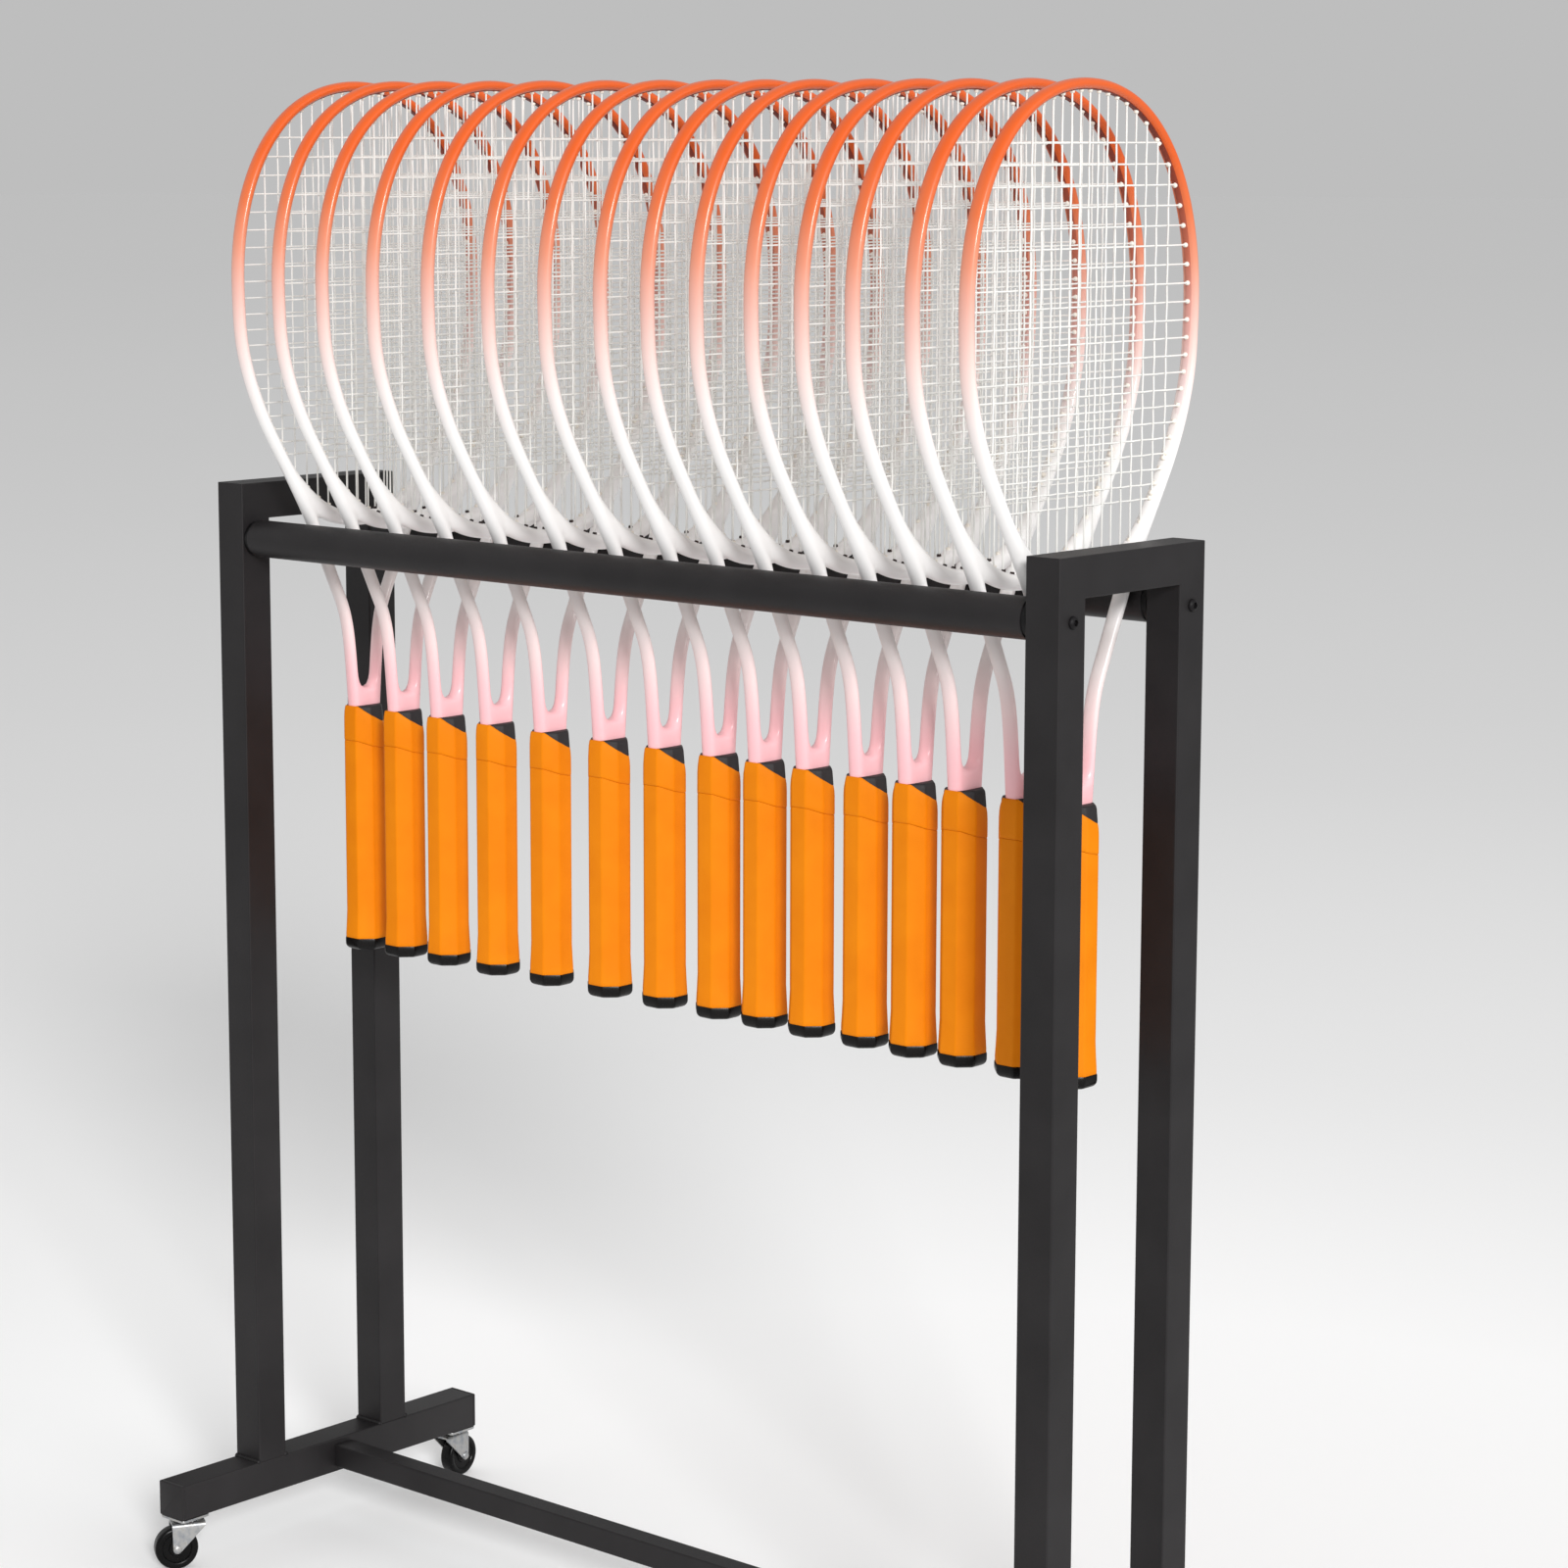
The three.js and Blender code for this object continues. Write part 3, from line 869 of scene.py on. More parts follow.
@cache
def barrel_tree() -> Tree:
    """Tree that sets a small tapered barrel on each guide point.

    Returns:
        The tree; each point's direction named inward is the way that the barrel points.
    """
    tree, given = new_tree("grommet_barrels", [
        ("Radius", "Float", 0.0016), ("Height", "Float", 0.002), ("Taper", "Float", 0.72),
        ("Sides", "Int", 10)])
    tip = add(tree, "ShaderNodeMath", {0: given.outputs["Radius"], 1: given.outputs["Taper"]},
              operation="MULTIPLY")
    barrel = add(tree, "GeometryNodeMeshCone", {
        "Vertices": given.outputs["Sides"], "Radius Top": tip, "Radius Bottom": given.outputs["Radius"],
        "Depth": given.outputs["Height"]}, fill_type="NGON")
    way = add(tree, "GeometryNodeInputNamedAttribute", {"Name": "inward"}, data_type="FLOAT_VECTOR")
    turn = add(tree, "FunctionNodeAlignRotationToVector", {"Vector": way.outputs["Attribute"]}, axis="Z")
    spread = add(tree, "GeometryNodeInstanceOnPoints", {
        "Points": given.outputs["Guide"], "Instance": barrel, "Rotation": turn})
    return end_tree(tree, given, spread)


@cache
def ball_tree() -> Tree:
    """Tree that sets a ball on each guide point, as in a bearing or along a weld.

    Returns:
        The tree; the input named Spread is how far the sizes stray to either side.
    """
    tree, given = new_tree("balls", [
        ("Radius", "Float", 0.001), ("Squash", "Vector", (1, 1, 1)), ("Seed", "Int", 4),
        ("Spread", "Float", 0.0)])
    ball = add(tree, "GeometryNodeMeshUVSphere", {"Segments": 12, "Rings": 8,
                                                  "Radius": given.outputs["Radius"]})
    least, most = (add(tree, "ShaderNodeMath", {0: 1.0, 1: given.outputs["Spread"]}, operation=step)
                   for step in ("SUBTRACT", "ADD"))
    chance = add(tree, "FunctionNodeRandomValue", {2: least, 3: most, "Seed": given.outputs["Seed"]},
                 data_type="FLOAT")
    size = add(tree, "ShaderNodeVectorMath", {0: given.outputs["Squash"], "Scale": chance.outputs[1]},
               operation="SCALE")
    spread = add(tree, "GeometryNodeInstanceOnPoints", {
        "Points": given.outputs["Guide"], "Instance": ball, "Scale": size})
    return end_tree(tree, given, spread)


# Stand


@dataclass
class StandSizes:
    """Sizes of the stand in millimetres, as in the CAD source."""

    length: float = 834.0
    height: float = 870.0
    depth: float = 162.5
    foot_length: float = 326.0
    foot_clearance: float = 44.4
    tube: float = 28.5
    corner: float = 1.2
    gap: float = 0.3
    rail_diameter: float = 29.0
    rail_below_top: float = 43.4
    stretcher: float = 19.0
    stretcher_set_back: float = 10.0

    @property
    def post_x(self) -> float:
        """How far the posts' middle is from the stand's middle."""
        return (self.length - self.tube) / 2

    @property
    def post_y(self) -> float:
        """How far a post is in front of or behind the middle."""
        return (self.depth - self.tube) / 2

    @property
    def rail_y(self) -> float:
        """How far a rail is in front of or behind the middle."""
        return (self.depth - self.rail_diameter) / 2

    @property
    def foot_top(self) -> float:
        """Height of the foot beams' tops."""
        return self.foot_clearance + self.tube

    @property
    def foot_centre(self) -> float:
        """Height of the middle of the foot beams."""
        return self.foot_clearance + self.tube / 2

    @property
    def rail_height(self) -> float:
        """Height of the rails' middle."""
        return self.height - self.rail_below_top

    @property
    def half_span(self) -> float:
        """Half the length of what runs between the ends."""
        return self.length / 2 - self.tube - self.gap


@dataclass
class EndFrame:
    """One end: an upside-down U of mitred square tube that is welded on a foot beam."""

    end: End
    sizes: StandSizes
    held_edge: float = 1.0
    cap_plate: float = 3.0
    seam_depth: float = 0.22
    bead: float = 2.3
    bead_rise: float = 0.25
    ripple: float = 1.3
    weld_inset: float = 1.4

    @property
    def x(self) -> float:
        """Place across of the posts and the foot beam."""
        return self.end.value * self.sizes.post_x

    def arch(self) -> Thing:
        """Makes the two posts and the top beam as one welded tube, ground at its corners.

        Returns:
            The piece.
        """
        s = self.sizes
        y, top, foot = s.post_y, s.height - s.tube / 2, s.foot_top + s.gap * 0.3
        under, inside = top - s.tube / 2 - self.held_edge, y - s.tube / 2 - self.held_edge
        rise = [(-y, z, 1, 0) for z in (foot, foot + self.held_edge, under)] + [(-y, top, 1, -1)]
        fall = [(y, top, -1, -1)] + [(y, z, -1, 0) for z in (under, foot + self.held_edge, foot)]
        stations = [*rise, (-inside, top, 0, -1), (inside, top, 0, -1), *fall]
        outline = rounded_square(s.tube, s.corner)
        rings = [[(self.x + u, place + back * v, z + up * v) for u, v in outline]
                 for place, z, back, up in stations]
        piece = Shell().loft(rings).piece(f"{self.end.label}_arch", PowderCoat())
        nodes = [f"{self.end.label}_{part}" for part in ("front_post", "rear_post", "top_beam")]
        return rides(piece, "stand", nodes)

    def foot(self) -> Thing:
        """Makes the foot beam with a fine seam before each closing plate.

        Returns:
            The piece.
        """
        s, half, seam = self.sizes, self.sizes.foot_length / 2, self.cap_plate
        steps = [(0, 0.7), (0.25, 0.2), (0.8, 0), (seam - 0.5, 0), (seam - 0.2, self.seam_depth),
                 (seam + 0.2, self.seam_depth), (seam + 0.5, 0)]
        stations = [(step - half, draw_in) for step, draw_in in steps]
        stations += [(half - step, draw_in) for step, draw_in in reversed(steps)]
        rings = []
        for place, draw_in in stations:
            outline = rounded_square(s.tube - draw_in * 2, max(s.corner - draw_in, 0.3))
            rings.append([(self.x + u, place, s.foot_centre + v) for u, v in outline])
        piece = Shell().loft(rings).piece(f"{self.end.label}_foot_tube", PowderCoat())
        return rides(piece, "stand", [f"{self.end.label}_foot_beam"])

    def welds(self) -> Thing:
        """Makes the fillet welds in front of and behind each post's foot.

        Returns:
            The piece.
        """
        s = self.sizes
        half = s.tube / 2 - self.weld_inset
        beads = [self.x - half + self.ripple * i for i in range(round(half * 2 / self.ripple) + 1)]
        rows = [row.value * s.post_y + side * (s.tube / 2 + self.bead_rise)
                for row in Row for side in (-1, 1)]
        points = [(x, y, s.foot_top + self.bead_rise) for y in rows for x in beads]
        # The beads' darker coat is painted shade where the post meets the foot beam.
        piece = grow(f"{self.end.label}_welds", ball_tree(), {
            "Radius": self.bead * MM, "Squash": (0.75, 1.0, 1.0), "Spread": 0.08, "Seed": 7,
            "Finish": PaintedShadeWeldCoat().build()}, points)
        return rides(piece, "stand")

    def build(self) -> None:
        """Builds the whole end."""
        self.arch()
        self.foot()
        self.welds()


@dataclass
class CrossPieces:
    """What runs between the ends: two rails, the stretcher and their bolts."""

    sizes: StandSizes
    collar_length: float = 4.5
    collar_diameter: float = 27.0
    bolt_head: float = 9.0
    bolt_head_height: float = 2.8
    socket: float = 4.0
    socket_depth: float = 1.9
    facets: int = 56
    bolt_facets: int = 48

    def rail(self, row: Row) -> Thing:
        """Makes a rail's round tube, which ends at its collars.

        Args:
            row: The front or the rear.

        Returns:
            The piece.
        """
        s = self.sizes
        radius, half = s.rail_diameter / 2, s.half_span - self.collar_length
        soft = [(radius - 0.5, half), (radius - 0.15, half - 0.15), (radius, half - 0.6),
                (radius, half - 1.4)]
        profile = [(r, -h) for r, h in soft] + [(r, h) for r, h in reversed(soft)]
        place = at((0, row.value * s.rail_y, s.rail_height), 90, "Y")
        tube = Shell().turn(profile, self.facets).moved(place)
        piece = tube.piece(f"{row.label}_rail_tube", PowderCoat())
        return rides(piece, "stand", [f"{row.label}_rail"])

    def collars(self) -> Thing:
        """Makes the nylon collars at the ends of the rails.

        Returns:
            The piece.
        """
        s, radius, length = self.sizes, self.collar_diameter / 2, self.collar_length
        collar = Shell().turn([(radius - 0.6, 0), (radius - 0.15, 0.2), (radius, 0.6), (radius, length - 0.2),
                               (radius - 1.5, length + 0.3)], self.facets)
        places = [at((end.value * s.half_span, row.value * s.rail_y, s.rail_height), -90 * end.value, "Y")
                  for row in Row for end in End]
        piece = Shell().joined(collar.moved(place) for place in places).piece("rail_collars", MouldedNylon())
        return rides(piece, "stand")

    def stretcher(self) -> Thing:
        """Makes the bottom stretcher of small square tube.

        Returns:
            The piece.
        """
        s = self.sizes
        shell = bar(s.stretcher, s.corner, -s.half_span, s.half_span, edge=0.4)
        place = at((0, s.stretcher_set_back, s.foot_centre), 90, "Y")
        piece = shell.moved(place).piece("stretcher_tube", PowderCoat())
        return rides(piece, "stand", ["bottom_stretcher"])

    def bolt(self, kind: str, label: str, end: End, y: float, z: float) -> Thing:
        """Makes the low button head of a bolt, with its hexagon socket.

        Args:
            kind: What it holds, as in the node's name.
            label: Which one it is, as in the node's name.
            end: The end of the stand that it is on.
            y: Its place in depth.
            z: Its height.

        Returns:
            The piece.
        """
        head, tall, count = self.bolt_head / 2, self.bolt_head_height, self.bolt_facets
        dome = [(1.0, 0.0), (1.0, 0.5), (0.97, 1.1), (0.86, 1.8), (0.68, 2.4), (0.52, tall - 0.05)]
        rings = [circle(head * share, height, count) for share, height in dome]
        for share, height in ((1.06, tall), (1.0, tall - 0.25), (1.0, tall - self.socket_depth)):
            ring = []
            for i in range(count):
                angle = math.tau * i / count
                reach = self.socket / 2 / math.cos((angle + math.pi / 6) % (math.pi / 3) - math.pi / 6)
                ring.append((share * reach * math.cos(angle), share * reach * math.sin(angle), height))
            rings.append(ring)
        outside = end.value * (self.sizes.length / 2 + self.sizes.gap * 0.4)
        shell = Shell().loft(rings).moved(at((outside, y, z), 90 * end.value, "Y"))
        piece = shell.piece(f"{kind}_bolt_head_{label}", BlackZinc(), sharp=30)
        return rides(piece, "stand", [f"{kind}_bolt_{label}"])

    def build(self) -> None:
        """Builds all the cross pieces."""
        s = self.sizes
        for row in Row:
            self.rail(row)
            for end in End:
                self.bolt("rail", f"{end.label}_{row.label}", end, row.value * s.rail_y, s.rail_height)
        for end in End:
            self.bolt("stretcher", end.label, end, s.stretcher_set_back, s.foot_centre)
        self.collars()
        self.stretcher()


# Casters


@dataclass
class Caster:
    """A swivel caster: plate and raceway, pressed fork, and wheel."""

    end: End
    row: Row
    turn_degrees: float
    sizes: StandSizes
    plate_side: float = 28.0
    plate_corner: float = 2.5
    plate_thickness: float = 2.0
    raceway_diameter: float = 20.0
    raceway_height: float = 3.0
    wheel_diameter: float = 35.0
    wheel_width: float = 12.0
    wheel_bore: float = 2.8
    trail: float = 8.0
    sheet: float = 1.6
    bend: float = 2.2
    leg_clearance: float = 0.8
    front_reach: float = 15.0
    rear_reach: float = 12.0
    tip_radius: float = 3.5
    axle_head: float = 6.4
    fork_edge: float = 0.22
    balls: int = 14
    ball_radius: float = 0.75
    ball_inset: float = 1.1
    ball_rise: float = 0.8
    cup_facets: int = 40
    rivet_facets: int = 28
    wheel_facets: int = 48

    @property
    def label(self) -> str:
        """The caster's name."""
        return f"caster_{self.end.label}_{self.row.label}"

    @property
    def axle(self) -> float:
        """Height of the axle."""
        return self.wheel_diameter / 2

    @property
    def kingpin(self) -> Matrix:
        """Place of the kingpin."""
        y = (self.sizes.foot_length - self.sizes.tube) / 2
        return at((self.end.value * self.sizes.post_x, self.row.value * y, 0))

    @property
    def swivelled(self) -> Matrix:
        """Place of what turns with the fork."""
        return self.kingpin @ at((0, 0, 0), self.turn_degrees)

    @property
    def lying(self) -> Matrix:
        """Place on the axle of what is turned round it."""
        return at((-self.trail, 0, self.axle), 90, "X")

    @property
    def levels(self) -> tuple[float, float, float, float]:
        """Levels of the plate, the raceway and the fork.

        Returns:
            Heights of the plate's top, its underside, the raceway's underside and the fork's top.
        """
        top = self.sizes.foot_clearance - self.sizes.gap
        under = top - self.plate_thickness
        race = under - self.raceway_height
        return top, under, race, race - self.sizes.gap

    def plate(self) -> Thing:
        """Makes the top plate with its raceway and the kingpin's riveted head.

        Returns:
            The piece.
        """
        top, under, race, fork_top = self.levels
        radius, head_top = self.raceway_diameter / 2, fork_top - self.sheet - self.sizes.gap
        plate = bar(self.plate_side, self.plate_corner, under, top, edge=0.35)
        cup = Shell().turn([(radius - 0.6, under + 0.2), (radius - 0.1, under - 0.2), (radius, under - 0.7),
                            (radius, under - 1.3), (radius - 0.5, race + 1.0), (radius - 2.2, race + 0.9),
                            (radius - 3.0, race + 0.1)], self.cup_facets)
        rivet = Shell().turn([(3.0, head_top + 2), (3.0, head_top), (5.0, head_top), (5.0, head_top - 0.6),
                              (4.4, head_top - 1.15), (2.6, head_top - 1.4)], self.rivet_facets)
        shell = plate.joined([cup, rivet]).moved(self.kingpin)
        piece = shell.piece(f"{self.label}_top_plate", BrightZinc())
        return rides(piece, "stand", [f"{self.label}_plate"])

    def bearing(self) -> Thing:
        """Makes the balls that show in the raceway.

        Returns:
            The piece.
        """
        radius = self.raceway_diameter / 2 - self.ball_inset
        ring = circle(radius, self.levels[2] + self.ball_rise, self.balls)
        piece = grow(f"{self.label}_balls", ball_tree(),
                     {"Radius": self.ball_radius * MM, "Finish": BrightZinc().build()},
                     [self.kingpin @ point for point in ring])
        return rides(piece, "stand")

    def span(self, z: float) -> Point:
        """Rear and front of a fork's leg, which tapers to a round tip at the axle.

        Args:
            z: The height.

        Returns:
            How far behind and before the kingpin the leg reaches there.
        """
        top, axle, tip = self.levels[3], self.axle, self.tip_radius
        shoulder = top - self.sheet / 2 - self.bend
        if z >= shoulder:
            return -self.rear_reach, self.front_reach
        run, drop = self.front_reach + self.trail, top - axle
        tangent = math.atan2(drop, run) - math.acos(tip / math.hypot(run, drop))
        tip_x, tip_z = tip * math.cos(tangent) - self.trail, axle + tip * math.sin(tangent)
        low = max(z, axle - tip + 0.01)
        half = math.sqrt(max(tip ** 2 - (low - axle) ** 2, 0.0))
        rear, front = -self.trail - half, half - self.trail
        if low > axle:
            share = (shoulder - low) / (shoulder - axle)
            rear = (self.rear_reach - self.trail - tip) * share - self.rear_reach
        if low > tip_z:
            share = (shoulder - low) / (shoulder - tip_z)
            front = self.front_reach + (tip_x - self.front_reach) * share
        return rear, front

    def yoke(self) -> Shell:
        """The folded sheet of the fork, up one leg, across the top and down the other.

        Returns:
            Its shell, round the kingpin.
        """
        inside = self.wheel_width / 2 + self.leg_clearance
        middle, plane = inside + self.sheet / 2, self.levels[3] - self.sheet / 2
        shoulder, corner = plane - self.bend, self.bend - middle
        heights = [self.axle - self.tip_radius * math.cos(math.pi / 2 * i / 6) for i in range(6)]
        heights += [self.axle + (shoulder - self.axle) * i / 7 for i in range(8)]
        path = [(Vector((-middle, z)), Vector((-1, 0)), z) for z in heights]
        path += [(Vector((corner, shoulder)) + way * self.bend, way, plane)
                 for way in arc((0, 0), 1, math.pi, -math.pi / 2, 5)[1:]]
        path += [(Vector((corner - corner * i / 3, plane)), Vector((0, 1)), plane) for i in range(1, 3)]
        path += [(flip(point), flip(way), z) for point, way, z in reversed(path)]
        columns, rings = 7, []
        for point, way, z in path:
            outside, within = point + way * self.sheet / 2, point - way * self.sheet / 2
            rear, front = self.span(z)
            row = [rear + (front - rear) * i / columns for i in range(columns + 1)]
            rings.append([(x, *outside) for x in row] + [(x, *within) for x in reversed(row)])
        return Shell().loft(rings)

    def fork(self) -> Thing:
        """Makes the fork of folded sheet with tapered legs, and its riveted axle.

        Returns:
            The piece.
        """
        tip = self.wheel_width / 2 + self.leg_clearance + self.sheet
        head = self.axle_head / 2
        rivet = Shell().turn([(2.4, -tip), (2.4, tip - 0.1), (head, tip - 0.1), (head, tip + 0.5),
                              (head * 0.8, tip + 1.1), (head * 0.45, tip + 1.3)], self.rivet_facets)
        back = rivet.moved(at((0, 0, 0), 180, "X"))
        shell = self.yoke().joined([rivet.moved(self.lying), back.moved(self.lying)])
        piece = shell.moved(self.swivelled).piece(f"{self.label}_yoke", BrightZinc(), sharp=34)
        edge = piece.modifiers.new("edge", "BEVEL")
        edge.width, edge.segments = self.fork_edge * MM, 2
        edge.limit_method, edge.angle_limit = "ANGLE", math.radians(50)
        return rides(plain(piece), f"{self.label}_fork", [f"{self.label}_fork"])

    def wheel(self) -> Thing:
        """Makes the wheel: a rounded tread, a dished side and a hub boss.

        Returns:
            The piece.
        """
        radius, half = self.wheel_diameter / 2, self.wheel_width / 2
        side = [(self.wheel_bore, half - 0.1), (5.6, half - 0.1), (6.2, half - 0.5), (6.6, half - 1.4),
                (11.4, half - 1.4), (12.0, half - 0.5), (12.6, half - 0.1), (radius - 2.6, half),
                (radius - 1.3, half - 0.25), (radius - 0.45, half - 1.0), (radius - 0.1, half - 2.2),
                (radius, half - 3.6)]
        profile = side + [(r, -h) for r, h in reversed(side)]
        shell = Shell().turn(profile, self.wheel_facets, looped=True).moved(self.swivelled @ self.lying)
        piece = shell.piece(f"{self.label}_tyre", WheelRubber())
        return rides(piece, f"{self.label}_wheel", [f"{self.label}_wheel"])

    def build(self) -> None:
        """Builds the caster."""
        self.plate()
        self.bearing()
        self.fork()
        self.wheel()


# Rackets


def flip(point: Vector) -> Vector:
    """The point on the other side of the middle."""
    return Vector((-point.x, point.y))


def bezier(a: Vector, b: Vector, c: Vector, d: Vector, steps: int) -> list[Vector]:
    """Points on a cubic curve.

    Args:
        a: Its start.
        b: What it leaves the start for.
        c: Where it comes to its end from.
        d: Its end.
        steps: How many points it gets.

    Returns:
        The points, without the start.
    """
    points = []
    for i in range(1, steps + 1):
        t = i / steps
        u = 1 - t
        points.append(a * u ** 3 + b * 3 * u * u * t + c * 3 * u * t * t + d * t ** 3)
    return points


def spline(points: Sequence[Vector], steps: int) -> list[Vector]:
    """Points on a smooth curve through given points.

    Args:
        points: The given points.
        steps: How many points each stretch gets.

    Returns:
        The curve's points, without the first one given.
    """
    found = []
    for i in range(len(points) - 1):
        before, after = points[max(i - 1, 0)], points[min(i + 2, len(points) - 1)]
        low, high = points[i], points[i + 1]
        start, end = (high - before) / 2, (after - low) / 2
        for step in range(1, steps + 1):
            t = step / steps
            found.append(low * (2 * t ** 3 - 3 * t * t + 1) + start * (t ** 3 - 2 * t * t + t)
                         + high * (3 * t * t - 2 * t ** 3) + end * (t ** 3 - t * t))
    return found


def beside(line: Sequence[Vector], distance: float, straight: int = 0) -> list[Vector]:
    """Moves a line of a racket's right half outwards.

    Args:
        line: Its points, from below up to the crown.
        distance: How far it moves, below 0 for inwards.
        straight: How many points at its start lie on an upright stretch.

    Returns:
        The moved points.
    """
    moved = []
    for i, point in enumerate(line):
        along = line[min(i + 1, len(line) - 1)] - line[max(i - 1, 0)]
        if i < straight:
            along = Vector((0, 1))
        elif i == len(line) - 1:
            along = Vector((-1, 0))
        moved.append(point + Vector((along.y, -along.x)).normalized() * distance)
    return moved


def passing(line: Sequence[Vector], height: float) -> tuple[int, float]:
    """Where a climbing line passes a height.

    Args:
        line: Its points.
        height: The height.

    Returns:
        The number of the first point above it, and the share of the way to it from the point before.
    """
    i = next(i for i, point in enumerate(line) if point.y > height)
    return i, (height - line[i - 1].y) / (line[i].y - line[i - 1].y)


def at_height(line: Sequence[Vector], height: float) -> Vector:
    """Point of a climbing line at a height."""
    i, share = passing(line, height)
    return line[i - 1].lerp(line[i], share)


def crossings(outline: Sequence[Vector], axis: int, level: float) -> list[tuple[Vector, Vector]]:
    """Places where an outline passes a level line.

    Args:
        outline: Its points, closed.
        axis: 0 for a line at a place across, 1 for a line at a height.
        level: Where the line is.

    Returns:
        Each place, with the outline's direction there, in order along the line.
    """
    found = []
    for i, start in enumerate(outline):
        end = outline[(i + 1) % len(outline)]
        if (start[axis] <= level) != (end[axis] <= level):
            share = (level - start[axis]) / (end[axis] - start[axis])
            found.append((start.lerp(end, share), (end - start).normalized()))
    return sorted(found, key=lambda item: item[0][1 - axis])


@dataclass
class RacketShape:
    """Lines of a racket in millimetres, with X across and Y up from the butt."""

    length: float = 685.0
    head_half_width: float = 127.5
    widest_height: float = 533.0
    depth: float = 12.0
    thickness: float = 7.4
    shaft_half_width: float = 14.0
    shaft_top: float = 199.0
    crotch: float = 213.0
    bridge_under: float = 339.0
    bridge_thickness: float = 11.0
    bridge_under_rise: float = 15.0
    bridge_top_rise: float = 36.0
    side: tuple[Point, ...] = (
        (0.198, 0.5206), (0.3385, 0.5934), (0.4865, 0.6679), (0.653, 0.7355),
        (0.812, 0.8012), (0.92, 0.8612), (0.983, 0.923),
    )
    crown_round: float = 0.6
    throat_lead: float = 0.25
    throat_flare: float = 0.1
    bridge_round: float = 0.5
    clear: float = 0.15
    throat_steps: int = 16
    side_steps: int = 10
    crown_steps: int = 60
    opening_steps: int = 12

    @property
    def bridge_top(self) -> float:
        """Height of the bridge's upper edge in the middle."""
        return self.bridge_under + self.bridge_thickness

    @property
    def bridge_end(self) -> float:
        """Height at which the bridge's upper edge meets the arms."""
        return self.bridge_top + self.bridge_top_rise

    def outer(self) -> list[Vector]:
        """Outer side of the right half.

        Returns:
            Its points, from the top of the shaft to the crown.
        """
        side = [Vector((a * self.head_half_width, b * self.widest_height)) for a, b in self.side]
        lead = (side[0].y - self.shaft_top) * self.throat_lead
        along = (side[1] - side[0]).normalized() * lead
        start = Vector((self.shaft_half_width, self.shaft_top))
        widest = Vector((self.head_half_width, self.widest_height))
        crown_y = self.widest_height + (self.length - self.widest_height) * self.crown_round
        return [
            start,
            *bezier(start, start + Vector((lead * self.throat_flare, lead)), side[0] - along, side[0],
                    self.throat_steps),
            *spline([*side, widest], self.side_steps),
            *bezier(widest, Vector((widest.x, crown_y)), Vector((widest.x * self.crown_round, self.length)),
                    Vector((0, self.length)), self.crown_steps),
        ]

    def bridge_edge(self, height: float, arm: Vector, steps: int) -> list[Vector]:
        """Edge of the throat's bridge, from the middle to the right arm.

        Args:
            height: Its height in the middle.
            arm: Where it meets the arm.
            steps: How many stretches it gets.

        Returns:
            Its points.
        """
        middle, reach = Vector((0, height)), Vector((arm.x * self.bridge_round, height))
        lift = Vector((arm.x * (1 + self.bridge_round) / 2, height + (arm.y - height) * self.bridge_round))
        return [middle, *bezier(middle, reach, lift, arm, steps)]

    def opening(self) -> list[Vector]:
        """Outline of the head's opening, where the strings are.

        Returns:
            Its points, counter-clockwise.
        """
        inner = beside(self.outer(), -self.thickness)
        low = self.bridge_edge(self.bridge_top, at_height(inner, self.bridge_end), self.opening_steps)
        half = low + [point for point in inner if point.y > low[-1].y + 1]
        return half + [flip(point) for point in reversed(half[1:-1])]


@dataclass
class StringPattern:
    """How the strings are spaced in the head, in millimetres."""

    mains: int = 18
    crosses: int = 21
    main_pitch: float = 9.75
    main_spread: float = 0.0197
    cross_top: float = 642.0
    cross_pitch_top: float = 14.4
    cross_pitch_bottom: float = 9.8
    thickness: float = 1.35
    weave: float = 1.15
    main_weave: float = 0.2
    bite: float = 3.0
    clear: float = 3.0

    def main_places(self) -> list[float]:
        """Places across of the main strings, a little wider apart towards the sides.

        Returns:
            The places, from left to right.
        """
        steps = [i + 0.5 for i in range(self.mains // 2)]
        right = [self.main_pitch * u + self.main_spread * u ** 3 for u in steps]
        return [-x for x in reversed(right)] + right

    def cross_places(self) -> list[float]:
        """Heights of the cross strings above the butt.

        Returns:
            The heights, from the top down.
        """
        shares = [i / (self.crosses - 2) for i in range(self.crosses - 1)]
        pitches = [self.cross_pitch_top + (self.cross_pitch_bottom - self.cross_pitch_top) * share
                   for share in shares]
        return list(accumulate(pitches, lambda height, pitch: height - pitch, initial=self.cross_top))


